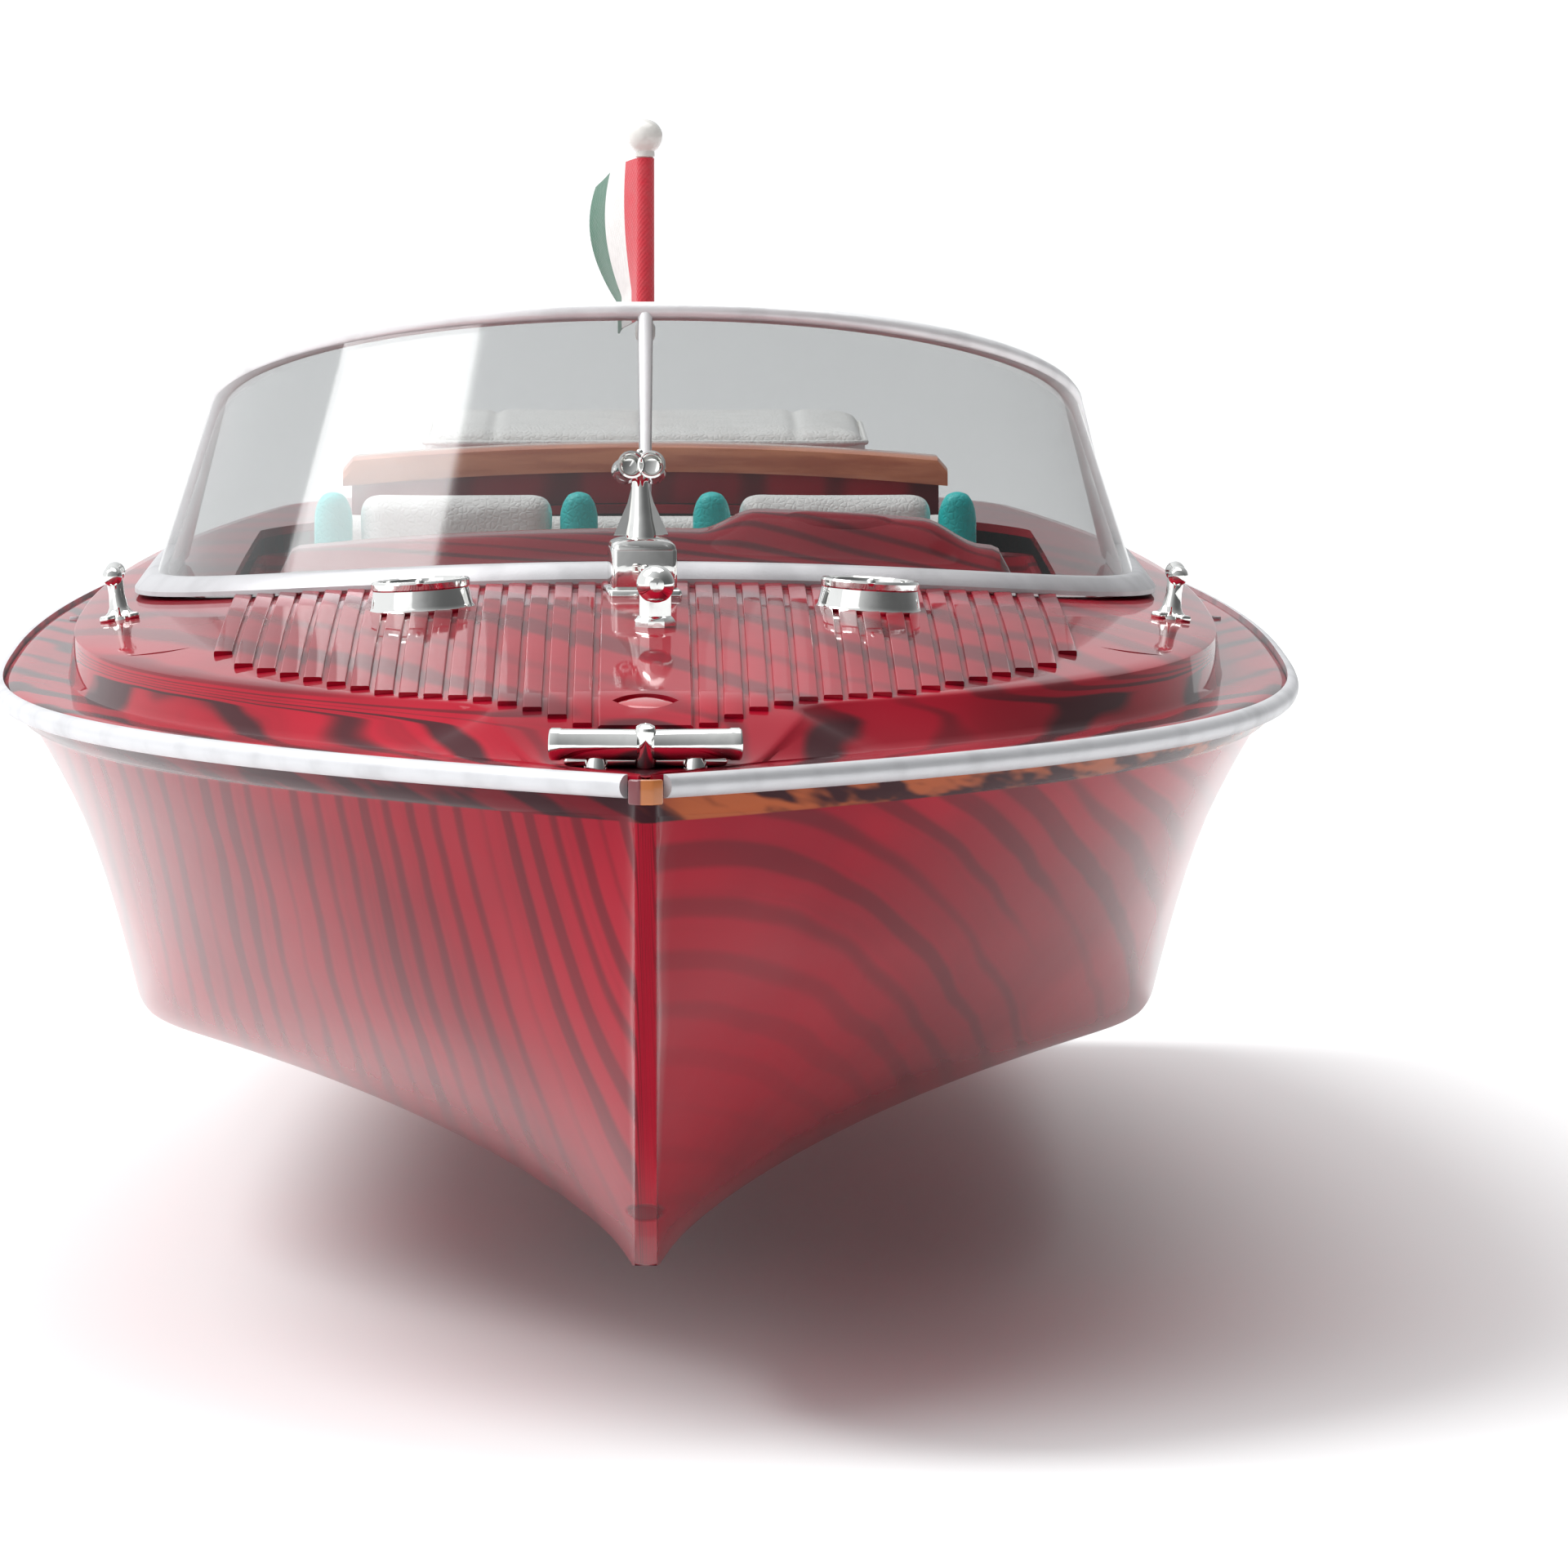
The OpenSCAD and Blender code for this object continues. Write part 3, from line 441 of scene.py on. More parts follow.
def platform_half(y):
    if y < 17:
        return 0.55 * side_half(y)
    return max(min(14.8, 3.8 + 0.36 * y), side_half(y) - 7 - 13 * math.exp((20 - y) / 25))


def edge_z(y):
    low, fall = 0.9, stern_fall(y)
    return (low + (PLATFORM_H - low) * eased((y - 15) / 22)) * (1 - fall) + low * fall


def crown(y):
    return 0.00138 * eased((y - 10) / 30) * (1 - stern_fall(y))


def deck_z(x, y):
    return edge_z(y) + crown(y) * max(0.0, platform_half(y) ** 2 - x * x)


def deck_half(y, t):
    edge = max(0.3, platform_half(y) - 0.6 * t)
    foot = max(edge + 0.2, max(0.63 * side_half(y), side_half(y) - LEDGE_W) - 0.6 * t)
    rim = max(foot + 0.2, side_half(y) - (0.1 if t else 0.02))
    low = 0.95 - t
    half = [(edge * 0.955 * i / 26, deck_z(edge * 0.955 * i / 26, y) - t) for i in range(27)]
    top = deck_z(edge, y)
    half += [
        (edge - 0.25, top - 0.05 - t), (edge, top - 0.22 - t),
        (edge + 0.06 * (foot - edge), top - 0.5 - t)
    ]
    slope_top, slope_foot = (edge + 0.06 * (foot - edge), top - 0.5 - t), (
        mix(edge, foot, 0.86), mix(top, low + t, 0.92) - t
    )
    half += [tuple(mix(slope_top[k], slope_foot[k], i / 7) for k in (0, 1)) for i in range(1, 8)]
    half += [(mix(edge, foot, 0.94), low + 0.22), (foot, low + 0.1)]
    bead = min(1.5, 0.45 * (rim - foot))
    half += [(mix(foot, rim - bead, i / 4), low + 0.1) for i in range(1, 5)]
    half += [
        (rim - 0.6 * bead, low + 0.02), (rim - 0.25 * bead, low - 0.2 * (t == 0)),
        (rim, low - 0.62 * (t == 0))
    ]
    return half


def deck_rows(t):
    rows = []
    for i in range(DECK_STATIONS + 1):
        y = mix(STEM_Y + 0.2, HULL_LEN, (i / DECK_STATIONS) ** 1.3)
        half = deck_half(y, t)
        rows.append([(-x, y, z) for x, z in half[:0:-1]] + [(x, y, z) for x, z in half])
    return rows


def rounded_outline(circles, grow, steps=24):
    """The hull of several circles: what a cutter or a lining follows."""
    points = []
    for cx, cy, r in circles:
        for i in range(steps * 4):
            a = 2 * math.pi * i / (steps * 4)
            points.append(((cx + (r + grow) * math.cos(a)), (cy + (r + grow) * math.sin(a))))
    points = sorted(set(points))
    chains = []
    for run in (points, points[::-1]):
        chain = []
        for p in run:
            while len(chain) > 1 and (chain[-1][0] - chain[-2][0]) * (p[1] - chain[-2][1]) - (
                chain[-1][1] - chain[-2][1]
            ) * (p[0] - chain[-2][0]) <= 1e-9:
                chain.pop()
            chain.append(p)
        chains += chain[:-1]
    return chains


COCKPIT = [(31, 196, 12), (-31, 196, 12), (35, 310, 8), (-35, 310, 8), (0, 194, 16)]
HATCH = [(26, 345, 4), (-26, 345, 4), (26, 400, 4), (-26, 400, 4)]


def prism(outline, low, high):
    """An upright solid over a closed outline."""
    n = len(outline)
    points = [(x, y, low) for x, y in outline] + [(x, y, high) for x, y in outline]
    faces = [tuple(range(n - 1, -1, -1)), tuple(range(n, 2 * n))]
    faces += [(i, (i + 1) % n, n + (i + 1) % n, n + i) for i in range(n)]
    return points, faces


def cut(piece, cutters, finish):
    """Takes each solid away from a piece, for good."""
    for shape in cutters:
        tool = built("cutter", shape, finish)
        taken = piece.modifiers.new("cut", "BOOLEAN")
        taken.operation, taken.object, taken.solver = "DIFFERENCE", tool, "EXACT"
        settle(piece)
        bpy.data.objects.remove(tool)


def settle(piece):
    """Makes what a piece's modifiers do its own plain mesh."""
    graph = bpy.context.evaluated_depsgraph_get()
    mesh = bpy.data.meshes.new_from_object(piece.evaluated_get(graph))
    piece.modifiers.clear()
    piece.data = mesh
    mesh.shade_smooth()
    mesh.set_sharp_from_angle(angle=SMOOTH_ANGLE)


def lens(cx, cy, long, wide, bend=0.0):
    """A lens or a crescent lying across the boat."""
    front = [(cx + long * s, cy - wide * (1 - s * s) + bend * s * s) for s in np.linspace(-1, 1, 25)]
    back = [
        (cx + long * s, cy + (wide if not bend else 0.1 * wide) * (1 - s * s) + bend * s * s)
        for s in np.linspace(1, -1, 25)[1:-1]
    ]
    return front + back


def deck_finish(name, spacing):
    finish = lacquered(name, 0.03)
    x, y, z = finish.axes()
    side = x.maths("ABSOLUTE")
    ledge = 1 - z.rising(3.4, 5.2)
    warp = finish.noise(finish.vector(x / 26, y / 34, z / 9), 1.0, 2.0) * 9
    across = (side * 0.85 - y * 0.26 + warp) * ledge + (x * 0.8 + y * 0.35) * (1 - ledge) * 0.5
    darkness = 0.55 + ledge * 0.4
    finish.feed(Base_Color=mahogany(finish, across, x, spacing, darkness, (DEEP_RED, CLEAR_RED)))
    finish.relief(finish.noise(finish.place, 120.0, 2.0), 0.04)
    return finish


wood_deck = deck_finish("deck_mahogany", 5.2)
deck = built("deck_moulding", wall(deck_rows(0), deck_rows(DECK_T)), wood_deck)
crescents = [
    prism(lens(side * 47.4, 101, 3.1, 1.3, 0.8), deck_z(47.4, 101) - 0.45, 12)
    for side in (PORT, STARBOARD)
]
cut(
    deck,
    [prism(rounded_outline(COCKPIT, 0), -6, 26), prism(rounded_outline(HATCH, 0), -6, 26), *crescents],
    wood_deck
)
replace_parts(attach(deck, "hull"), "deck_shell")


# Ribbed foredeck: sixteen slim strips a side lie fore and aft on the platform beside a wide centre
# plank. Each is a rounded bar moulded with the deck, cut square at the panel's curved margin.

STRIP_PITCH = 2.33
STRIP_W = 1.8
STRIP_H = 0.42
PLANK_HALF = 4.4
STRIP_COUNT = 16
WINDSCREEN_FOOT = [(0, 147), (24, 147), (51.5, 160), (51.5, 197)]


def bezier(points, t):
    weights = ((1 - t) ** 3, 3 * t * (1 - t) ** 2, 3 * t * t * (1 - t), t**3)
    return tuple(sum(w * p[k] for w, p in zip(weights, points)) for k in range(len(points[0])))


def screen_foot_y(x):
    """Where the windscreen's foot crosses at a distance from the centre plane."""
    steps = [bezier(WINDSCREEN_FOOT, i / 40) for i in range(41)]
    return next((p[1] for p in steps if p[0] >= abs(x)), 197)


def panel_front(x):
    """The curved forward margin of the ribbed panel."""
    s = clamped((abs(x) - 8) / 34)
    return max(27.0, 22 + 0.92 * abs(x), 24 + 61 * s**1.45 + 10 * eased((abs(x) - 38) / 4))


def strip_paths():
    points, edges = [], []
    for side in (PORT, STARBOARD):
        for i in range(STRIP_COUNT):
            x = side * (PLANK_HALF + STRIP_PITCH * (i + 0.62))
            first, last = panel_front(x), screen_foot_y(x) - 0.6
            count = max(4, int((last - first) / 3))
            start = len(points)
            for j in range(count + 1):
                y = mix(first, last, j / count)
                points.append(afloat(x, y, deck_z(x, y)))
            edges += [(start + j, start + j + 1) for j in range(count)]
    return points, edges


class Growth:
    """A Geometry Nodes tree with named inputs, ending in Realize Instances and Set Material."""

    def __init__(self, name, inputs):
        self.tree = bpy.data.node_groups.new(name, "GeometryNodeTree")
        self.tree.interface.new_socket("Geometry", in_out="INPUT", socket_type="NodeSocketGeometry")
        self.names = {}
        for label, value in inputs.items():
            socket = self.tree.interface.new_socket(
                label, in_out="INPUT", socket_type="NodeSocketFloat"
            )
            socket.default_value = value
            self.names[label] = (socket.identifier, value)
        self.tree.interface.new_socket("Geometry", in_out="OUTPUT", socket_type="NodeSocketGeometry")
        self.source = self.tree.nodes.new("NodeGroupInput")

    def given(self, label):
        return self.source.outputs[label]

    def add(self, kind, settings=None, sockets=None):
        """A node of a kind: its settings first, then the values or links of its sockets."""
        node = self.tree.nodes.new(kind)
        for key, value in (settings or {}).items():
            setattr(node, key, value)
        for key, value in (sockets or {}).items():
            if isinstance(value, bpy.types.NodeSocket):
                self.tree.links.new(value, node.inputs[key])
            else:
                node.inputs[key].default_value = value
        return node

    def finish(self, geometry, finish):
        real = self.add("GeometryNodeRealizeInstances", {}, {0: geometry})
        painted = self.add(
            "GeometryNodeSetMaterial", {}, {"Geometry": real.outputs[0], "Material": finish.material}
        )
        out = self.tree.nodes.new("NodeGroupOutput")
        self.tree.links.new(painted.outputs[0], out.inputs[0])

    def grow(self, name, points, edges=()):
        """Runs the tree over points and edges in the frame, and keeps the result as a plain mesh."""
        mesh = bpy.data.meshes.new(name)
        mesh.from_pydata(points, list(edges), [])
        piece = placed(name, mesh)
        modifier = piece.modifiers.new("growth", "NODES")
        modifier.node_group = self.tree
        for identifier, value in self.names.values():
            modifier[identifier] = value
        settle(piece)
        return piece


def bar_tree(name, width, height, corner, finish):
    """Lays a bar with rounded corners along every chain of edges."""
    growth = Growth(name, {"Width": width, "Height": height, "Corner": corner})
    curve = growth.add("GeometryNodeMeshToCurve", {}, {0: growth.given("Geometry")})
    upright = growth.add("GeometryNodeSetCurveNormal", {"mode": "Z_UP"}, {0: curve.outputs[0]})
    section = growth.add(
        "GeometryNodeCurvePrimitiveQuadrilateral", {"mode": "RECTANGLE"}, {
            0: growth.given("Height"), 1: growth.given("Width")
        }
    )
    rounded = growth.add(
        "GeometryNodeFilletCurve",
        {"mode": "POLY"},
        {
            "Curve": section.outputs[0], "Count": 3, "Radius": growth.given("Corner"),
            "Limit Radius": True
        },
    )
    swept = growth.add(
        "GeometryNodeCurveToMesh", {}, {
            "Curve": upright.outputs[0], "Profile Curve": rounded.outputs[0], "Fill Caps": True
        }
    )
    growth.finish(swept.outputs[0], finish)
    return growth


strip_tree = bar_tree("deck_strips", 2 * STRIP_H * MM, STRIP_W * MM, 0.16 * MM, wood_deck)
strips = strip_tree.grow("foredeck_strips", *strip_paths())
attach(strips, "hull")

plank_section = [
    (-4.4, -0.5), (-4.4, 0.3), (-4.2, 0.5), (-2, 0.5), (0, 0.5), (2, 0.5), (4.2, 0.5), (4.4, 0.3),
    (4.4, -0.5)
]
plank_ys = [mix(26.5, 146.2, i / 60) for i in range(61)]
plank_rows = [[(x, y, deck_z(x, y) + rise) for x, rise in plank_section] for y in plank_ys]


def swept(rings):
    """A bar through closed rings of points, capped at both ends."""
    k = len(rings[0])
    points = [p for ring in rings for p in ring]
    faces = grid_faces(rings, closed=True) + [
        tuple(range(k)), tuple(range((len(rings) - 1) * k, len(rings) * k))
    ]
    return points, faces


plank = built("centre_plank", swept(plank_rows), wood_deck)
cut(plank, [prism(lens(0, 33, 3.1, 2.6), deck_z(0, 33) - 0.1, 12)], wood_deck)
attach(plank, "hull")

lens_red = Finish("lens_red", Roughness=0.12, IOR=1.49, Transmission_Weight=0.35, Coat_Weight=0.6)
milky = lens_red.noise(lens_red.place, 420.0, 2.0)
lens_red.feed(Base_Color=lens_red.blend(milky, (0.62, 0.012, 0.03), (0.80, 0.05, 0.07)))
lens_red.relief(milky, 0.02)
lens_rings = []
for shrink, rise in ((1.0, -0.1), (0.97, 0.2), (0.8, 0.34), (0.45, 0.44), (0.03, 0.47)):
    ring = lens(0, 33, 2.85 * shrink, 2.3 * shrink)
    lens_rings.append([(px, py, deck_z(px, py) + rise) for px, py in ring])
bow_lens = built("bow_lens", swept(lens_rings), lens_red)
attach(bow_lens, "hull")


# Rub rails: a half-round of silvered plastic along each sheer, stopping just short of the stem.
# The bare tip of the deck shows between them as a small waisted block of varnished wood.

RAIL_R = 1.12
RAIL_STATIONS = 160


def satin_silver(name, tint=(0.66, 0.66, 0.68)):
    finish = Finish(name, Metallic=0.3, Roughness=0.34, IOR=1.5)
    specks = finish.noise(finish.place, 2600.0, 3.0, 0.6)
    scuffs = finish.noise(finish.place, 160.0, 3.0)
    darker = tuple(0.72 * c for c in tint)
    finish.feed(
        Base_Color=finish.blend(scuffs.rising(0.42, 0.75) * 0.6, tint, darker),
        Roughness=0.28 + scuffs * 0.2,
    )
    finish.relief(specks, 0.03, 0.6)
    return finish


def rail_ring(y, side):
    ahead, aft = side_half(y - 0.5), side_half(y + 0.5)
    along = Vector((aft - ahead, 1)).normalized()
    out = Vector((along.y, -along.x))
    ring = []
    for i in range(13):
        a = math.radians(-90 + 15 * i)
        reach = 0.08 + RAIL_R * math.cos(a)
        ring.append((side * (side_half(y) + out.x * reach), y + out.y * reach, 1.1 * math.sin(a)))
    return ring


rail_silver = satin_silver("rail_silver")
for side, name in ((PORT, "port"), (STARBOARD, "starboard")):
    rings = [
        rail_ring(mix(2.9, HULL_LEN - 0.3, (i / RAIL_STATIONS) ** 1.3), side)
        for i in range(RAIL_STATIONS + 1)
    ]
    rail = built(f"rub_rail_round_{name}", swept(rings), rail_silver)
    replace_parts(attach(rail, "hull"), f"rub_rail_{name}")


def varnished(name):
    """Pale varnished wood: the stem tip and the beam behind the cockpit."""
    finish = Finish(name, Roughness=0.35, Coat_Weight=0.8, Coat_Roughness=0.08)
    x, y, z = finish.axes()
    streaks = finish.noise(finish.vector(x / 9, y / 1.3, z / 1.3), 1.0, 3.0)
    pale = finish.blend(streaks.rising(0.35, 0.7), (0.72, 0.25, 0.12), (0.52, 0.13, 0.055))
    finish.feed(Base_Color=pale)
    finish.relief(streaks, 0.04)
    return finish


wood_trim = varnished("varnished_trim")
tip_wood = varnished("varnished_tip")
x, y, z = tip_wood.axes()
tip_wood.feed(Base_Color=tip_wood.blend(x.rising(-0.55, -0.35), WINE, (0.50, 0.15, 0.03)))
tip_outline = [
    (-0.7, 0.12), (0.7, 0.12), (1.65, 1.0), (1.3, 1.65), (0.95, 1.4), (-0.95, 1.4), (-1.3, 1.65),
    (-1.65, 1.0)
]
stem_tip = built("stem_tip", prism(tip_outline, -1.55, 0.75), tip_wood)
softening = stem_tip.modifiers.new("softened edges", "BEVEL")
softening.width, softening.segments, softening.limit_method = 0.34 * MM, 4, "ANGLE"
settle(stem_tip)
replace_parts(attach(stem_tip, "hull"), "stem_cap")


# Windscreen: one clear wrap-round moulding with a silvered band along its foot, a rail over its
# top and a centre pillar, its wings sloping down to the deck aft.

FOOT_BOW = [(0, 147, 0), (24, 147, 0), (51.5, 160, 0), (51.5, 197, 0)]
FOOT_TIP = (51.2, 250, 0)
TOP_BOW = [(0, 166, 36.8), (22, 166, 37), (44, 180, 32.5), (45.4, 207, 25.5)]
TOP_TIP = (50.6, 251, 7.6)
BOW_SHARE = 0.75
SCREEN_STEPS = 120


def along_screen(bow, tip, a):
    b = abs(a)
    if b < BOW_SHARE:
        p = bezier(bow, b / BOW_SHARE)
    else:
        p = tuple(mix(bow[3][k], tip[k], (b - BOW_SHARE) / (1 - BOW_SHARE)) for k in range(3))
    return Vector((math.copysign(p[0], a), p[1], p[2]))


def screen_foot(a):
    p = along_screen(FOOT_BOW, FOOT_TIP, a)
    return Vector((p.x, p.y, deck_z(p.x, p.y)))


def screen_at(a, v, depth):
    """A point a of the way round and v of the way up, depth inside the outer face."""
    b = screen_foot(a + 0.01) - screen_foot(a - 0.01)
    inward = Vector((-b.y, b.x, 0)).normalized() * depth
    return screen_foot(a).lerp(along_screen(TOP_BOW, TOP_TIP, a), v) + inward


def clear_plastic(name, tint, dirt=0.02):
    """Clear moulding: a mirror share that grows towards the edge-on view, and the rest clear."""
    finish = Finish(name)
    tree = finish.tree
    through = finish.add("ShaderNodeBsdfTransparent", {}, {0: (*tint, 1)})
    mirror = finish.add("ShaderNodeBsdfGlossy", {}, {"Roughness": 0.07, "Color": (1, 1, 1, 1)})
    smears = finish.noise(finish.place, 60.0, 3.0)
    facing = finish.add("ShaderNodeLayerWeight", {}, {"Blend": 0.5}, "Facing")
    share = facing**5 * 0.96 + 0.045 + smears.rising(0.5, 0.9) * dirt
    both = finish.add("ShaderNodeMixShader", {}, {0: share, 1: through, 2: mirror})
    tree.links.new(both.socket, tree.nodes["Material Output"].inputs["Surface"])
    tree.nodes.remove(finish.surface)
    return finish


clear_screen = clear_plastic("clear_moulding", (0.70, 0.705, 0.705))
around = [mix(-0.985, 0.985, i / SCREEN_STEPS) for i in range(SCREEN_STEPS + 1)]
heights = [mix(0.04, 0.975, i / 10) for i in range(11)]
glass = built(
    "windscreen_moulding",
    wall(
        [[screen_at(a, v, 0.1) for v in heights] for a in around],
        [[screen_at(a, v, 1.1) for v in heights] for a in around]
    ),
    clear_screen,
)
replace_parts(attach(glass, "hull"), "windscreen_glass")

screen_silver = satin_silver("screen_silver", (0.88, 0.88, 0.89))


def round_bar(path, radius, steps=12, tall=1.0):
    """A round bar through points, or an oval one."""
    rings = []
    for i, centre in enumerate(path):
        centre = Vector(centre)
        along = (Vector(path[min(i + 1, len(path) - 1)]) - Vector(path[max(i - 1, 0)])).normalized()
        helper = Vector((0, 1, 0)) if abs(along.z) > 0.9 else Vector((0, 0, 1))
        side = along.cross(helper).normalized()
        up = side.cross(along)
        r = radius(i / (len(path) - 1)) if callable(radius) else radius
        rings.append(
            [
                tuple(centre + r * (math.cos(a) * side + tall * math.sin(a) * up))
                for a in (2 * math.pi * j / steps for j in range(steps))
            ]
        )
    return swept(rings)


full_round = [mix(-1, 1, i / SCREEN_STEPS) for i in range(SCREEN_STEPS + 1)]


def joined(*shapes):
    points, faces = [], []
    for shape_points, shape_faces in shapes:
        start = len(points)
        points += shape_points
        faces += [tuple(start + i for i in f) for f in shape_faces]
    return points, faces


top_rail = round_bar([screen_at(a, 1, 0.6) for a in full_round], 0.98, 14)
pillar = round_bar(
    [screen_at(0, v, 0.6) for v in (0.05, 0.25, 0.5, 0.75, 1)], lambda s: 0.5 + 0.3 * s, 12
)
rail_piece = built("windscreen_rail", joined(top_rail, pillar), screen_silver)
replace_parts(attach(rail_piece, "hull"), "windscreen_top_rail")


def band_ring(a):
    """The foot band's section: flat under, sloping up from its outer edge to the glass."""
    section = (
        (-1.5, 0.25), (-1.5, 0.7), (-1.3, 1.0), (-0.3, 2.05), (0.2, 2.3), (1.2, 2.3), (1.7, 1.9),
        (1.7, 0.3)
    )
    return [tuple(screen_at(a, 0, depth) + Vector((0, 0, up))) for depth, up in section]


foot_silver = satin_silver("foot_silver", (0.50, 0.50, 0.515))
foot_band = built("windscreen_foot_band", swept([band_ring(a) for a in full_round]), foot_silver)
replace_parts(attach(foot_band, "hull"), "windscreen_base_band")


# Cockpit tub: a printed plastic lining dropped through the deck, its floor laid with slim teak
# laths. It carries the seats and the bench.

TUB_FLOOR_Z = -18
TUB_RIM_Z = 4
LATH_PITCH = 3.1

tub_wood = lacquered("tub_mahogany", 0.1)
x, y, z = tub_wood.axes()
tub_wood.feed(Base_Color=mahogany(tub_wood, z * 1.3 + y * 0.1, y, 2.4, 0.7))
tub_wood.relief(tub_wood.noise(tub_wood.place, 150.0), 0.05)


def level_ring(grow, z):
    return [(px, py, z) for px, py in rounded_outline(COCKPIT, grow)]


tub_rings = [
    level_ring(0.6, TUB_FLOOR_Z - 1.2),
    level_ring(0.6, TUB_RIM_Z - 0.35),
    level_ring(0.25, TUB_RIM_Z),
    level_ring(-0.25, TUB_RIM_Z),
    level_ring(-0.6, TUB_RIM_Z - 0.35),
    level_ring(-0.6, TUB_FLOOR_Z + 1.5),
    level_ring(-1.2, TUB_FLOOR_Z + 0.4),
    level_ring(-2.4, TUB_FLOOR_Z),
]
tub = built("tub_lining", swept(tub_rings), tub_wood)
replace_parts(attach(tub, "hull"), "cockpit_tub")

teak = varnished("teak_laths")


def lath_paths():
    """Laths fore and aft over the floor, each as long as the rounded lining lets it be."""
    outline = rounded_outline(COCKPIT, -3.2)
    points, edges = [], []
    for i in range(-12, 13):
        x = i * LATH_PITCH
        crossings = []
        for (x0, y0), (x1, y1) in zip(outline, outline[1:] + outline[:1]):
            if (x0 - x) * (x1 - x) < 0:
                crossings.append(mix(y0, y1, (x - x0) / (x1 - x0)))
        if len(crossings) < 2:
            continue
        first, last, start = min(crossings), max(crossings), len(points)
        points += [afloat(x, mix(first, last, j / 6), TUB_FLOOR_Z + 0.05) for j in range(7)]
        edges += [(start + j, start + j + 1) for j in range(6)]
    return points, edges


lath_tree = bar_tree("floor_laths", 0.7 * MM, 2.3 * MM, 0.12 * MM, teak)
laths = lath_tree.grow("floor_laths", *lath_paths())
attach(laths, "hull")


# Dashboard: a moulded hood with a hump before the helm, a fascia with three dials in chromed
# bezels, and the boss that the wheel's shaft turns in.

HELM = (20, 198, 6.5)
HELM_TILT = math.radians(-70)
DIALS_X = (-22, -13, -4)
DIAL_Y, DIAL_Z = 187.6, 3.5

dash_wood = lacquered("dash_mahogany")
x, y, z = dash_wood.axes()
dash_wood.feed(Base_Color=mahogany(dash_wood, y + x * 0.25, x, 2.6, 0.7))
dash_wood.relief(dash_wood.noise(dash_wood.place, 140.0), 0.05)


def hood_rise(x, y):
    hump = eased((14.5 - abs(x - 20)) / 6) * eased((y - 173) / 8)
    return (0.9 + 2.6 * eased((y - 171) / 9)) * eased((38.5 - abs(x)) / 2.5) + 2.2 * hump


hood_xs = [mix(-38, 38, i / 96) for i in range(97)]
hood_ys = [171.6 + 15.4 * (i / 16) for i in range(17)]
hood_top = [[(x, y, deck_z(x, y) + max(0.35, hood_rise(x, y))) for x in hood_xs] for y in hood_ys]
hood_under = [[(x, y, deck_z(x, y) + 0.3) for x in hood_xs] for y in hood_ys]


def box(low, high):
    (x0, y0, z0), (x1, y1, z1) = low, high
    points = [(x, y, z) for z in (z0, z1) for x, y in ((x0, y0), (x1, y0), (x1, y1), (x0, y1))]
    return points, [(3, 2, 1, 0), (4, 5, 6, 7), (0, 1, 5, 4), (1, 2, 6, 5), (2, 3, 7, 6), (3, 0, 4, 7)]


def lens_mound(cx, cy, long, wide, rise):
    """A low raised lens on the hood, like the one before the helm."""
    rows = []
    for i in range(9):
        s = i / 8
        row = []
        for j in range(40):
            a = 2 * math.pi * j / 40
            px, py = cx + long * (1 - s) * math.cos(a), cy + wide * (1 - s) * math.sin(a)
            row.append((px, py, deck_z(px, py) + hood_rise(px, py) - 0.1 + rise * eased(3 * s)))
        rows.append(row)
    return swept(rows)


dash = built(
    "dash_hood",
    joined(
        wall(hood_top, hood_under), box((-34, 186, -4), (34, 187.6, 9)),
        lens_mound(20, 180, 6.2, 2.6, 0.35)
    ),
    dash_wood
)
edges = dash.modifiers.new("softened edges", "BEVEL")
edges.width, edges.segments, edges.limit_method, edges.angle_limit = 0.25 * MM, 2, "ANGLE", math.radians(50)
settle(dash)
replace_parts(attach(dash, "hull"), "dashboard")


def turned(profile, steps=40):
    """A turned part: radius and height pairs, spun round the local z axis."""
    rings = [
        [
            (r * math.cos(2 * math.pi * j / steps), r * math.sin(2 * math.pi * j / steps), h)
            for j in range(steps)
        ] for r,
        h in profile
    ]
    return swept(rings)


def moved(shape, *transforms):
    """A shape after each transform in turn, the last one given first."""
    matrix = Matrix.Identity(4)
    for transform in transforms:
        matrix = matrix @ transform
    return [tuple(matrix @ Vector(p)) for p in shape[0]], shape[1]


def shift(x, y, z):
    return Matrix.Translation((x, y, z))


def turn(degrees, axis):
    return Matrix.Rotation(math.radians(degrees), 4, axis)


def chromed(name):
    """Bright plating: clear mirror with faint smears and a fine orange peel."""
    finish = Finish(name, Metallic=1.0, Roughness=0.05)
    smears = finish.noise(finish.place, 380.0, 3.0)
    finish.feed(
        Base_Color=finish.blend(smears.rising(0.5, 0.85) * 0.5, (0.84, 0.84, 0.82), (0.55, 0.55, 0.53)),
        Roughness=0.03 + smears.rising(0.35, 0.8) * 0.12,
    )
    finish.relief(finish.noise(finish.place, 900.0, 1.0), 0.012)
    return finish


chrome = chromed("bright_chrome")

helm_boss = moved(
    turned(
        [
            (0.85, -1.2), (1.6, -1.2), (1.7, -1.5), (1.6, -4), (1.45, -10.5), (2.4, -11.2),
            (2.4, -11.5), (0.85, -11.5), (0.85, -1.2)
        ]
    ),
    shift(*HELM),
    Matrix.Rotation(HELM_TILT, 4, "X"),
)
boss = built("helm_boss", helm_boss, chrome)
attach(boss, "hull")

bezel_profile = [(2.5, 0.3), (2.5, 0.85), (2.65, 1.0), (2.95, 1.0), (3.2, 0.75), (3.2, 0), (2.5, 0)]
bezels = [
    moved(turned(bezel_profile + bezel_profile[:1]), shift(x, DIAL_Y, DIAL_Z), turn(-90, "X"))
    for x in DIALS_X
]
bezel_rings = built("dial_bezels", joined(*bezels), chrome)
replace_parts(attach(bezel_rings, "hull"), "gauge_bezels")

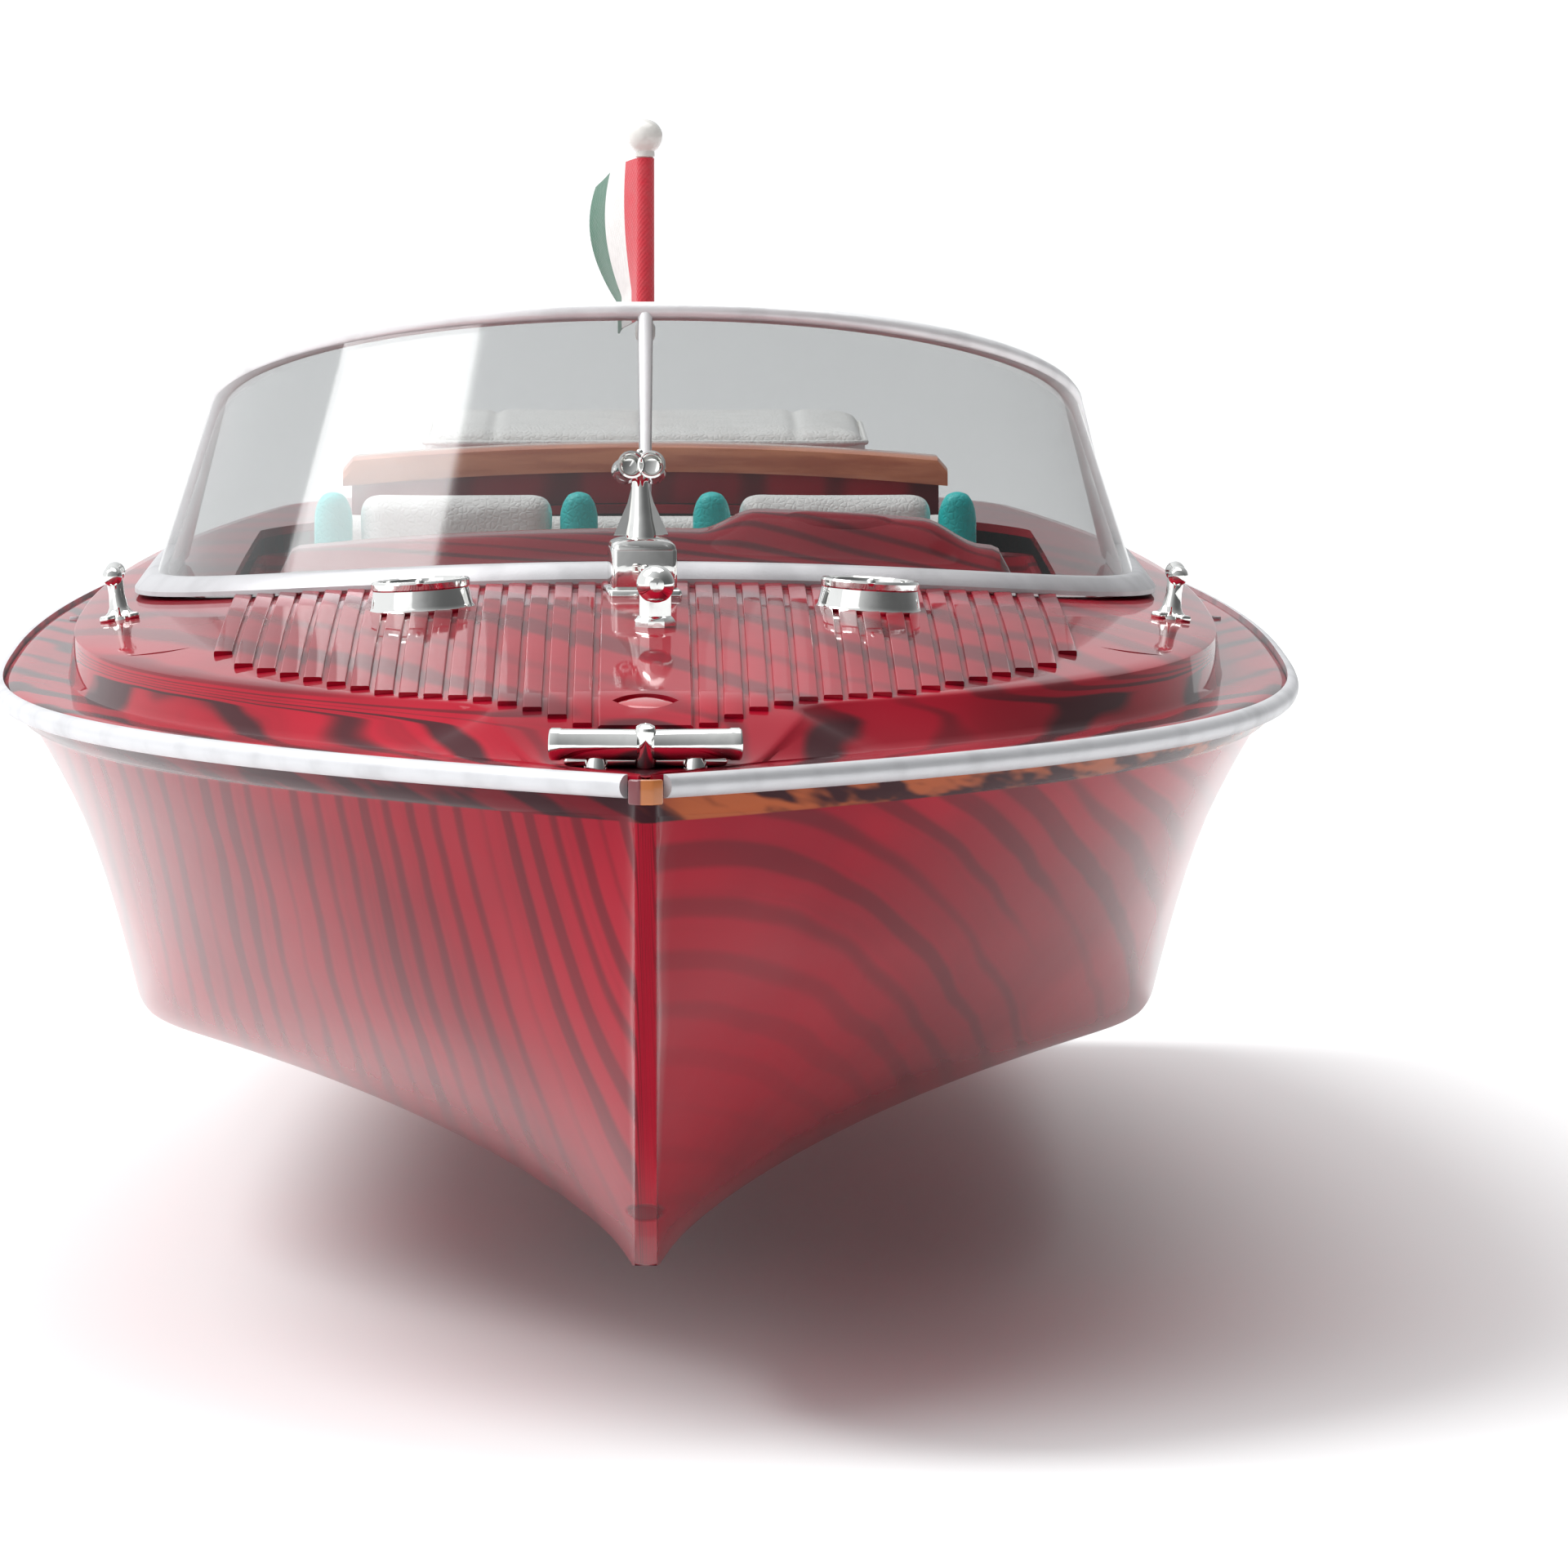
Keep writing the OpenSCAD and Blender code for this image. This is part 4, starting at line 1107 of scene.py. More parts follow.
dial_face = Finish("dial_face", Roughness=0.3, Coat_Weight=0.6)
x, y, z = dial_face.axes()
turned_x = x - (x + 17.5).maths("SNAP", 9.0) + 13.0
radius = (turned_x * turned_x + (z - DIAL_Z) * (z - DIAL_Z)) ** 0.5
angle = (z - DIAL_Z).maths("ARCTAN2", turned_x)
ticks = (angle * 12 / math.pi).maths("FRACT")
tick = (
    1 - ticks.maths("PINGPONG", 0.5).rising(0.10, 0.16)
) * radius.rising(1.75, 1.85) * (1 - radius.rising(2.25, 2.35))
needle = (1 - (angle - 0.9).maths("ABSOLUTE").rising(0.05, 0.09)) * (1 - radius.rising(1.6, 1.7))
marks = (tick + needle + (1 - radius.rising(0.35, 0.45))).maths("MINIMUM", 1.0)
dial_face.feed(Base_Color=dial_face.blend(marks, (0.85, 0.84, 0.78), (0.02, 0.02, 0.025)))
faces = [
    moved(
        turned([(2.52, 0.02), (2.52, 0.32), (1.2, 0.34), (0.001, 0.35)]), shift(x, DIAL_Y, DIAL_Z),
        turn(-90, "X")
    )
    for x in DIALS_X
]
dial_plates = built("dial_faces", joined(*faces), dial_face)
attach(dial_plates, "hull")


# Steering wheel: an ivory rim with finger grips on three slotted chrome spokes, on a shaft
# that turns in the boss.

ivory = Finish("ivory_plastic", Roughness=0.3, Coat_Weight=0.5, Coat_Roughness=0.1)
mottled = ivory.noise(ivory.place, 300.0, 2.0)
ivory.feed(
    Base_Color=ivory.blend(mottled, (0.80, 0.78, 0.70), (0.72, 0.69, 0.60)),
    Roughness=0.25 + mottled * 0.15
)
ivory.relief(mottled, 0.03)

RIM_R, RIM_STEPS, GRIPS = 7, 96, 24


def rim_ring(i, steps=14):
    a = 2 * math.pi * i / RIM_STEPS
    grip = 0.66 - 0.06 * max(0.0, math.cos(GRIPS * a))
    out = Vector((math.cos(a), math.sin(a), 0))
    around_grip = (2 * math.pi * j / steps for j in range(steps))
    return [
        tuple(out * (RIM_R + grip * math.cos(b)) + Vector((0, 0, grip * math.sin(b))))
        for b in around_grip
    ]


at_helm = (shift(*HELM), Matrix.Rotation(HELM_TILT, 4, "X"))
rim_rows = [rim_ring(i) for i in range(RIM_STEPS)]
rim_rows.append(rim_rows[0])
rim_points = [p for row in rim_rows for p in row]
rim = built("wheel_rim", moved((rim_points, grid_faces(rim_rows, closed=True)), *at_helm), ivory)
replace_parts(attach(rim, "helm"), "steering_wheel")

spokes = []
for angle in (90, 210, 330):
    for offset in (-0.42, 0.42):
        spokes.append(
            moved(
                box((1.2, offset - 0.22, -0.3), (6.7, offset + 0.22, 0.15)), *at_helm, turn(angle, "Z")
            )
        )
hub = moved(
    turned(
        [
            (0.001, 1.5), (0.7, 1.45), (1.15, 1.2), (1.4, 0.75), (1.7, 0.6), (1.7, -0.5), (0.8, -0.9),
            (0.8, -4.6), (0.001, -4.6)
        ]
    ),
    *at_helm
)
spider = built("wheel_spider", joined(*spokes, hub), chrome)
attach(spider, "helm")


# Seats: foam cushions under stitched vinyl, white with turquoise end bolsters. Each is blown up
# and settled as cloth at twenty times its size, then sewn into channels and piped.

SIM_SCALE = 20 * MM
SIM_FRAMES = 20


def vinyl(name, colour, shadow):
    """Stitched vinyl: a fine leather grain with a soft sheen."""
    finish = Finish(name, Roughness=0.42, Coat_Weight=0.15, Coat_Roughness=0.3)
    grain = finish.add(
        "ShaderNodeTexVoronoi", {"feature": "DISTANCE_TO_EDGE"},
        {"Vector": finish.place, "Scale": 1500.0}
    )
    creases = finish.noise(finish.place, 260.0, 3.0)
    finish.feed(
        Base_Color=finish.blend(creases.rising(0.4, 0.8) * 0.6, colour, shadow),
        Roughness=0.36 + creases * 0.16,
    )
    finish.relief(grain.rising(0.0, 0.25) * 0.6 + creases * 0.8, 0.06)
    return finish


white_vinyl = vinyl("white_vinyl", (0.90, 0.895, 0.875), (0.78, 0.77, 0.74))
turquoise_vinyl = vinyl("turquoise_vinyl", (0.0, 0.66, 0.64), (0.0, 0.48, 0.48))


def cushion_form(size, corner):
    """A rounded block in mm, standing on z 0, a little smaller than the finished cushion."""
    bm = bmesh.new()
    bmesh.ops.create_cube(bm, size=1)
    for v in bm.verts:
        v.co = Vector(
            (v.co.x * (size[0] - 0.6), v.co.y * (size[1] - 0.6), (v.co.z + 0.5) * (size[2] - 0.3))
        )
    bmesh.ops.bevel(bm, geom=bm.edges[:], offset=corner, segments=4, profile=0.5, affect="EDGES")
    return bm


def blown(name, size, corner, cap, pressure=4.0):
    """The cushion's skin after cloth settles round its stuffing, in mm, standing on z 0."""
    bm = cushion_form(size, corner)
    bmesh.ops.scale(bm, vec=(SIM_SCALE,) * 3, verts=bm.verts)
    mesh = bpy.data.meshes.new(name)
    bm.to_mesh(mesh)
    bm.free()
    work = placed(name, mesh)
    remesh = work.modifiers.new("skin", "REMESH")
    remesh.mode, remesh.voxel_size = "VOXEL", max(0.011, min(size) * SIM_SCALE / 9)
    settle(work)
    start = np.array([v.co for v in work.data.vertices])
    cloth = work.modifiers.new("stuffing", "CLOTH")
    cloth.settings.use_pressure = True
    cloth.settings.uniform_pressure_force = pressure
    cloth.settings.effector_weights.gravity = 0
    cloth.settings.quality = 5
    cloth.point_cache.frame_start, cloth.point_cache.frame_end = 1, SIM_FRAMES
    for number in range(1, SIM_FRAMES + 1):
        bpy.context.scene.frame_set(number)
    settle(work)
    bpy.context.scene.frame_set(1)
    ended = np.array([v.co for v in work.data.vertices])
    move = ended - start
    far = np.linalg.norm(move, axis=1, keepdims=True)
    limit = cap * SIM_SCALE
    move *= np.minimum(1.0, limit / np.maximum(far, 1e-9))
    points = (start + move) / SIM_SCALE
    points[:, 2] = np.maximum(points[:, 2], 0.0)
    faces = [tuple(p.vertices) for p in work.data.polygons]
    bpy.data.objects.remove(work)
    return points, faces


def sewn(points, size, channels, depth, width=0.55):
    """Presses sewn channels, lines of equal x, into the upper side."""
    pressed = points.copy()
    for x in channels:
        fall = np.exp(-(((points[:, 0] - x) / width) ** 2))
        upper = np.clip((points[:, 2] / size[2] - 0.35) / 0.3, 0, 1)
        pressed[:, 2] -= depth * fall * upper
    return pressed


def piping(size, corner, z, radius=0.32):
    """The cord sewn round a cushion's upper edge."""
    half_x, half_y = size[0] / 2 - 0.75, size[1] / 2 - 0.75
    path = []
    for cx, cy, first in ((1, 1, 0), (-1, 1, 90), (-1, -1, 180), (1, -1, 270)):
        for i in range(9):
            a = math.radians(first + 90 * i / 8)
            path.append(
                (
                    cx * (half_x - corner) + corner * math.cos(a),
                    cy * (half_y - corner) + corner * math.sin(a), z
                )
            )
    rings = []
    n = len(path)
    for i in range(n + 1):
        here = Vector(path[i % n])
        along = (Vector(path[(i + 1) % n]) - Vector(path[(i - 1) % n])).normalized()
        side = Vector((along.y, -along.x, 0))
        rings.append(
            [
                tuple(here + side * radius * math.cos(b) + Vector((0, 0, radius * math.sin(b))))
                for b in (2 * math.pi * j / 8 for j in range(8))
            ]
        )
    points = [p for ring in rings for p in ring]
    return points, grid_faces(rings, closed=True)


def cushion(name, size, corner, channels, finish, cap, fill, body, slot, nodes, *transforms):
    """Blows up, sews and places one cushion, hiding the imported parts it replaces."""
    points, faces = blown(name, size, corner, cap)
    points = sewn(points, size, channels, 0.45)
    shape = moved(([tuple(p) for p in points], faces), *transforms)
    piece = built(name, shape, finish, angle=math.radians(80))
    smooth = piece.modifiers.new("even skin", "SUBSURF")
    smooth.levels = smooth.render_levels = 1
    settle(piece)
    piece.data.shade_smooth()
    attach(piece, body)
    if nodes:
        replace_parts(piece, *nodes)
    return piece


SEAT_X, SEAT_W, SEAT_Y = 20.5, 22, 244
BASE, BACK, BOLSTER = (SEAT_W, 30, 11), (SEAT_W, 6.5, 26), (4, 8, 26)
SEAT_PLEATS = [-7.2, -2.4, 2.4, 7.2]
BACK_LEAN = -8
cords = []
for side, name in ((PORT, "port"), (STARBOARD, "starboard")):
    at_seat = shift(side * SEAT_X, SEAT_Y, TUB_FLOOR_Z + 0.1)
    cushion(
        f"front_seat_cushion_{name}", BASE, 1.8, SEAT_PLEATS, white_vinyl, 0.9, 0.8, "hull",
        "white_vinyl", [f"front_seat_{name}"], at_seat
    )
    cords.append(moved(piping(BASE, 2.6, 9.3), at_seat))
    at_back = (at_seat, shift(0, 16, 6), turn(BACK_LEAN, "X"))
    cushion(
        f"front_seat_back_{name}", BACK, 1.9, [], white_vinyl, 0.5, 0.8, "hull", "white_vinyl", [],
        *at_back
    )
    for end, place in (("inner", SEAT_X - SEAT_W / 2 - 2.3), ("outer", SEAT_X + SEAT_W / 2 + 2.3)):
        at_bolster = (shift(side * place, SEAT_Y + 16, TUB_FLOOR_Z + 6.1), turn(BACK_LEAN, "X"))
        nodes = ["seat_bolsters"] if (side, end) == (PORT, "inner") else []
        cushion(
            f"seat_bolster_{end}_{name}", BOLSTER, 1.6, [], turquoise_vinyl, 0.35, 0.9, "hull",
            "teal_vinyl", nodes, *at_bolster
        )

BENCH, BENCH_BACK, PLEAT_PITCH = (72, 22, 12), (72, 5.5, 23), 6
at_bench = shift(0, 297, TUB_FLOOR_Z + 0.1)
bench_pleats = [PLEAT_PITCH * i for i in range(-5, 6)]
cushion(
    "rear_bench_cushion", BENCH, 1.8, bench_pleats, white_vinyl, 0.9, 0.8, "hull", "white_vinyl",
    ["rear_bench"], at_bench
)
cords.append(moved(piping(BENCH, 2.6, 10.4), at_bench))
at_bench_back = (shift(0, 311, TUB_FLOOR_Z + 4.1),)
cushion(
    "rear_bench_back", BENCH_BACK, 1.9, [], white_vinyl, 0.45, 0.8, "hull", "white_vinyl", [],
    *at_bench_back
)
seat_piping = built("seat_piping", joined(*cords), white_vinyl)
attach(seat_piping, "hull")


# Cockpit trim: a printed upstand across the deck behind the cockpit, capped by a pale varnished
# coaming with rounded edges.

TRIM_FROM, TRIM_TO = 322, 333
TRIM_HALF, CAP_LOW, TRIM_H = 34, 3.6, 6.7


def trim_block(half, first, last, low, high, corner):
    """A block that follows the deck's crown across the boat."""
    section = [
        (first, low), (last, low), (last, high - corner), (last - 0.3 * corner, high - 0.3 * corner),
        (last - corner, high)
    ]
    section += [
        (first + corner, high), (first + 0.3 * corner, high - 0.3 * corner), (first, high - corner)
    ]
    rings = []
    for i in range(61):
        x = mix(-half, half, i / 60)
        dip = corner * (1 - math.sqrt(max(0.0, 1 - max(0.0, abs(x) - half + corner) ** 2 / corner**2)))
        rings.append([(x, y, deck_z(x, y) + up - (dip if up > low else 0)) for y, up in section])
    return swept(rings)


upstand = built(
    "trim_upstand", trim_block(TRIM_HALF - 1, TRIM_FROM + 0.8, TRIM_TO - 0.8, 0.1, CAP_LOW + 0.3, 0.3),
    dash_wood
)
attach(upstand, "hull")
coaming = built(
    "trim_coaming", trim_block(TRIM_HALF, TRIM_FROM, TRIM_TO, CAP_LOW, TRIM_H, 1.2), wood_trim
)
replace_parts(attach(coaming, "hull"), "cockpit_trim")


# Bow fittings: chrome-plated mouldings pegged into the deck. A chock with two open rollers, a
# knob on a faceted post, and a horn on a boxed foot with a tapering stalk and twin trumpets.

FITTING_YAW = 3.9
CHOCK_Y, CHOCK_Z = 12.5, 3.1
POST_X, POST_Y, HORN_X, HORN_Y = 0.9, 90, -0.3, 127


def rounded_box(size, corner, segments=3):
    bm = bmesh.new()
    bmesh.ops.create_cube(bm, size=1)
    bmesh.ops.scale(bm, vec=size, verts=bm.verts)
    bmesh.ops.bevel(bm, geom=bm.edges[:], offset=corner, segments=segments, profile=0.5, affect="EDGES")
    bm.verts.index_update()
    shape = [tuple(v.co) for v in bm.verts], [tuple(v.index for v in f.verts) for f in bm.faces]
    bm.free()
    return shape


def ball(radius, steps=32):
    return turned(
        [
            (max(0.001, radius * math.sin(math.pi * i / 16)), -radius * math.cos(math.pi * i / 16))
            for i in range(17)
        ],
        steps
    )


roller = turned(
    [
        (0.001, 0.4), (1.2, 0.4), (1.42, 0.6), (1.42, 7.7), (1.5, 7.9), (1.5, 8.65), (1.4, 8.8),
        (1.0, 8.8), (0.9, 8.6), (0.9, 7.6), (0.001, 7.6)
    ],
    32
)
chock_parts = [
    moved(roller, shift(0, CHOCK_Y, CHOCK_Z), turn(8, "Z"), turn(90, "Y")),
    moved(roller, shift(0, CHOCK_Y, CHOCK_Z), turn(-8, "Z"), turn(-90, "Y"))
]
chock_parts.append(
    moved(
        turned(
            [(0.001, -2), (0.9, -2), (1.0, -1.6), (1.0, 1.3), (0.85, 1.75), (0.5, 1.95), (0.001, 2.0)]
        ),
        shift(0, 12.3, 3.1), turn(12, "X")
    )
)
chock_parts.append(moved(rounded_box((15, 6, 0.9), 0.35), shift(0, 15.9, 1.6)))
for side in (PORT, STARBOARD):
    chock_parts.append(
        moved(
            turned(
                [(0.001, -0.9), (1.15, -0.9), (1.15, -0.2), (0.95, 0.3), (0.85, 0.9), (0.001, 0.9)], 24
            ),
            shift(side * 4.5, 13.3, 1.6)
        )
    )
chock = built("bow_chock_rollers", joined(*chock_parts), chrome)
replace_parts(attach(chock, "hull"), "bow_chock")


def on_deck(x, y):
    slope = math.atan(2 * crown(y) * x)
    return shift(x, y, deck_z(x, y)) @ Matrix.Rotation(slope, 4, "Y")


post_at = (on_deck(POST_X, POST_Y), turn(FITTING_YAW, "Z"))
post_parts = [
    moved(
        turned(
            [
                (0.001, -0.3), (2.1, -0.3), (2.1, 1.0), (1.85, 1.35), (1.65, 1.5), (1.65, 3.9),
                (1.4, 4.2), (0.001, 4.2)
            ],
            8
        ),
        *post_at, turn(22.5, "Z")
    ),
    moved(ball(1.85), *post_at, shift(0, -1, 4.6)),
    moved(
        turned([(0.001, 1.5), (0.55, 1.45), (0.75, 1.7), (0.7, 1.95), (0.001, 2.0)], 24), *post_at,
        shift(0, -1, 4.6), turn(90, "X")
    ),
]
post = built("bow_post_knob", joined(*post_parts), chrome, angle=math.radians(28))
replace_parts(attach(post, "hull"), "bow_bollard")

horn_at = (on_deck(HORN_X, HORN_Y), turn(FITTING_YAW, "Z"))
stalk_at = (*horn_at, shift(0, 2, 6), turn(-12, "X"))


def vaulted_lid():
    """The box's rounded lid: a flattened half round lying fore and aft, its edges softened."""
    rings = []
    for y, inset in ((-4.1, 0.45), (-3.9, 0.12), (-3.6, 0), (3.6, 0), (3.9, 0.12), (4.1, 0.45)):
        half = 3.1 - inset
        rings.append(
            [
                (half * math.sin(a), y, (1.2 - inset) * math.cos(a) ** 0.5)
                for a in (math.pi * (i / 20 - 0.5) * 0.98 for i in range(21))
            ]
        )
    return swept(rings)


def fin(side):
    """A thin web from the lid up to the stalk."""
    outline = [(side * 0.5, 0.2), (side * 2.7, 0.2), (side * 1.3, 3.4), (side * 0.6, 6.0)]
    points = [(x, y, z) for y in (-0.3, 0.3) for x, z in outline]
    return points, [(3, 2, 1, 0), (4, 5, 6, 7), (0, 1, 5, 4), (1, 2, 6, 5), (2, 3, 7, 6), (3, 0, 4, 7)]


def trumpet(side):
    profile = [
        (0.001, -2.4), (0.8, -2.35), (1.2, -2.1), (1.3, -1.8), (1.22, -0.5), (1.22, 1.6), (1.38, 2.1),
        (1.4, 2.45), (1.2, 2.5), (1.0, 2.3), (0.75, 1.4), (0.001, 1.2)
    ]
    return moved(
        turned(profile, 28), *stalk_at, shift(side * 1.25, 0, 6.9), turn(side * -6, "Z"), turn(90, "X")
    )


horn_parts = [
    moved(rounded_box((7.2, 10, 1.2), 0.35), *horn_at, shift(0, 0, 0.55)),
    moved(rounded_box((6.4, 8.2, 4.4), 0.5), *horn_at, shift(0, 0, 3.1)),
    moved(vaulted_lid(), *horn_at, shift(0, 0, 4.9)),
    moved(
        turned(
            [
                (0.001, -0.6), (1.55, -0.6), (1.5, 0.4), (1.25, 1.6), (0.95, 4.0), (0.8, 6.3),
                (0.001, 6.4)
            ],
            28
        ),
        *stalk_at
    ),
    moved(fin(PORT), *stalk_at),
    moved(fin(STARBOARD), *stalk_at),
    trumpet(PORT),
    trumpet(STARBOARD),
    moved(ball(0.35, 16), *stalk_at, shift(0, 0, 8.5)),
    moved(ball(0.45, 16), *horn_at, shift(0, -4.1, 3.2)),
]
horn = built("horn_on_foot", joined(*horn_parts), chrome)
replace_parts(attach(horn, "hull"), "signal_horn")


# Foredeck ventilators and side cleats: chrome mouldings on pegs, the ventilators shallow dished
# cowls and the cleats a ball-ended bar on a flared stem with two forked feet.

VENT_X, VENT_Y, CLEAT_X, CLEAT_Y = 22, 119, 53, 154
VENT_PROFILE = [
    (0.001, -0.2), (5.25, -0.2), (5.25, 0.3), (5.1, 0.5), (5.08, 0.7), (4.72, 2.25), (4.85, 2.4),
    (4.88, 2.95), (4.75, 3.15), (4.35, 3.2), (4.1, 3.05), (4.0, 1.9), (3.7, 1.5), (2.5, 1.75),
    (0.9, 2.0), (0.001, 2.05)
]
for side, name in ((PORT, "port"), (STARBOARD, "starboard")):
    place = on_deck(side * VENT_X, VENT_Y)
    vent_parts = [
        moved(turned(VENT_PROFILE, 72), place), moved(ball(0.5, 16), place, shift(0, -4.5, 3.05))
    ]
    vent = built(f"ventilator_cowl_{name}", joined(*vent_parts), chrome)
    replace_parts(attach(vent, "hull"), f"foredeck_vent_{name}")

    place = on_deck(side * CLEAT_X, CLEAT_Y)
    stem_profile = [
        (0.001, -0.2), (1.9, -0.2), (1.75, 0.35), (1.2, 0.8), (0.95, 1.3), (0.8, 2.6), (0.85, 3.9),
        (0.6, 4.4), (0.001, 4.5)
    ]
    bar_profile = [
        (0.001, -5.05), (0.6, -4.9), (0.98, -4.4), (1.02, -4.0), (0.9, -3.4), (0.62, -2.9), (0.6, -2.2),
        (0.78, -0.6), (0.8, 0.6), (0.6, 2.2), (0.62, 2.9), (0.9, 3.4), (1.02, 4.0), (0.98, 4.4),
        (0.6, 4.9), (0.001, 5.05)
    ]
    foot = moved(rounded_box((1.3, 2.6, 0.8), 0.3), shift(0, 0, 0.25))
    cleat_parts = [
        moved(turned(stem_profile, 28), place),
        moved(turned(bar_profile, 28), place, shift(0, 0, 4.6), turn(90, "X")),
        moved(foot, place, turn(35, "Z"), shift(0, -1.5, 0)),
        moved(foot, place, turn(-35, "Z"), shift(0, -1.5, 0)),
    ]
    cleat = built(f"cleat_bar_{name}", joined(*cleat_parts), chrome)
    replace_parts(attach(cleat, "hull"), f"side_cleat_{name}")


# Deck screws: small countersunk steel screws with crossed slots that hold the deck down along
# the covering ledge, on both sides aft of the windscreen.

SCREW_STATIONS = (240, 300, 360, 415)
SCREW_INSET = 3.4

screw_steel = satin_silver("screw_steel", (0.55, 0.56, 0.58))
screws = Growth(
    "crossed_screws", {"Head Radius": 0.9 * MM, "Head Height": 0.35 * MM, "Slot": 0.18 * MM}
)
head = screws.add(
    "GeometryNodeMeshCylinder", {},
    {"Vertices": 28, "Radius": screws.given("Head Radius"), "Depth": screws.given("Head Height")}
)
sizes = [
    screws.add("ShaderNodeCombineXYZ", {}, {0: a, 1: b, 2: 1.0 * MM}) for a,
    b in ((1.2 * MM, screws.given("Slot")), (screws.given("Slot"), 1.2 * MM))
]
slots = [screws.add("GeometryNodeMeshCube", {}, {"Size": s.outputs[0]}) for s in sizes]
both = screws.add("GeometryNodeJoinGeometry")
for bar in slots:
    screws.tree.links.new(bar.outputs[0], both.inputs[0])
raised = screws.add(
    "GeometryNodeTransform", {}, {"Geometry": both.outputs[0], "Translation": (0, 0, 0.55 * MM)}
)
slotted = screws.add(
    "GeometryNodeMeshBoolean", {"operation": "DIFFERENCE"},
    {"Mesh 1": head.outputs[0], "Mesh 2": raised.outputs[0]}
)
each = screws.add(
    "GeometryNodeInstanceOnPoints", {},
    {"Points": screws.given("Geometry"), "Instance": slotted.outputs[0]}
)
screws.finish(each.outputs[0], screw_steel)
screw_points = [
    afloat(side * (side_half(y) - SCREW_INSET), y, 1.12)
    for side in (PORT, STARBOARD)
    for y in SCREW_STATIONS
]
screw_heads = screws.grow("deck_screw_heads", screw_points)
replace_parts(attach(screw_heads, "hull"), "deck_screws")


# Flagstaff and flag: a slim ivory staff with a ball finial and a ferrule, pushed into a chrome
# socket in the aft deck, and a small woven flag sewn along its hoist.

STAFF_Y, STAFF_Z, STAFF_LEN, STAFF_RAKE, FINIAL_R = 422, 5, 43, 8, 2.1
FLAG_LEN, FLAG_H, FLAG_FOOT, FLAG_T = 19.52, 19.4, 21, 0.22
at_staff = (shift(0, STAFF_Y, STAFF_Z), turn(-STAFF_RAKE, "X"))

socket_profile = [
    (0.85, -1), (1.5, -1.2), (1.5, 1.1), (2.7, 1.1), (3.0, 1.3), (3.0, 1.7), (2.6, 2.0), (1.7, 2.2),
    (1.45, 2.8), (1.45, 4.6), (1.3, 5.0), (0.85, 5.0), (0.85, -1)
]
socket = built("staff_socket_turned", moved(turned(socket_profile), *at_staff), chrome)
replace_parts(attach(socket, "hull"), "staff_socket")

pearl = Finish("pearl_plastic", Roughness=0.22, Coat_Weight=0.7, Coat_Roughness=0.06)
cloudy = pearl.noise(pearl.place, 240.0, 3.0)
pearl.feed(Base_Color=pearl.blend(cloudy, (0.62, 0.60, 0.56), (0.82, 0.81, 0.78)))
pearl.relief(cloudy, 0.03)
staff_profile = [
    (0.001, -1), (0.8, -1), (0.8, 18.4), (1.1, 18.7), (1.22, 19.1), (1.22, 20.1), (1.05, 20.5),
    (0.8, 20.7), (0.74, 40.3), (1.15, 40.6), (1.15, 40.9)
]
finial_turns = [math.radians(32 + 9.25 * i) for i in range(16)]
staff_profile += [(FINIAL_R * math.sin(a), STAFF_LEN - FINIAL_R * math.cos(a)) for a in finial_turns]
staff_profile += [(0.001, STAFF_LEN + FINIAL_R)]
staff = built("flagstaff_turned", moved(turned(staff_profile, 36), *at_staff), pearl)
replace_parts(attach(staff, "hull"), "flagstaff")

bunting = Finish("woven_bunting", Roughness=0.85, Sheen_Weight=0.3)
lie = bunting.add("ShaderNodeUVMap", {"uv_map": "cut"}, {})
cut_parts = bunting.add("ShaderNodeSeparateXYZ", {}, {0: lie})
length_way, height_way = (Shade(bunting, s) for s in list(cut_parts.socket.node.outputs)[:2])
weave = (length_way * 240).maths("SINE") * (height_way * 190).maths("SINE")
threads = bunting.noise(bunting.place, 900.0, 2.0)
stripes = bunting.blend(length_way.rising(0.332, 0.336), (0.62, 0.008, 0.03), (0.80, 0.80, 0.78))
stripes = bunting.blend(length_way.rising(0.665, 0.669), stripes, (0.005, 0.13, 0.07))
bunting.feed(Base_Color=bunting.blend(threads * 0.25, stripes, (0.25, 0.23, 0.22)))
bunting.relief(weave * 0.5 + threads, 0.05)


def flag_sheet(steps=60, rise=30):
    """The flag as it hangs: hemmed round the staff's front, bellied to starboard, fly drooping."""
    hem = 0.98
    points, faces, uvs = [], [], []
    for j in range(rise + 1):
        up = j / rise
        belly = 0.42 + 0.58 * math.sin(math.pi * clamped(1.2 - up * 0.95)) ** 0.9
        x, y = -hem, 0.0
        for i in range(steps + 1):
            s = i / steps
            run = s * FLAG_LEN
            if run < math.pi * hem:
                x, y = hem * math.cos(run / hem), -hem * math.sin(run / hem)
            else:
                heading = -0.44 * belly * (1 - 0.35 * s) + 0.1 * math.sin(9 * s + 2 * up) * s
                x += math.sin(heading) * FLAG_LEN / steps
                y += math.cos(heading) * FLAG_LEN / steps
            droop = 2.4 * max(0.0, s - 0.15) ** 2
            points.append((x, y, FLAG_FOOT + FLAG_H * up - droop * up))
            uvs.append((s, up))
    for j in range(rise):
        for i in range(steps):
            a = j * (steps + 1) + i
            faces.append((a, a + 1, a + steps + 2, a + steps + 1))
    return (points, faces), uvs


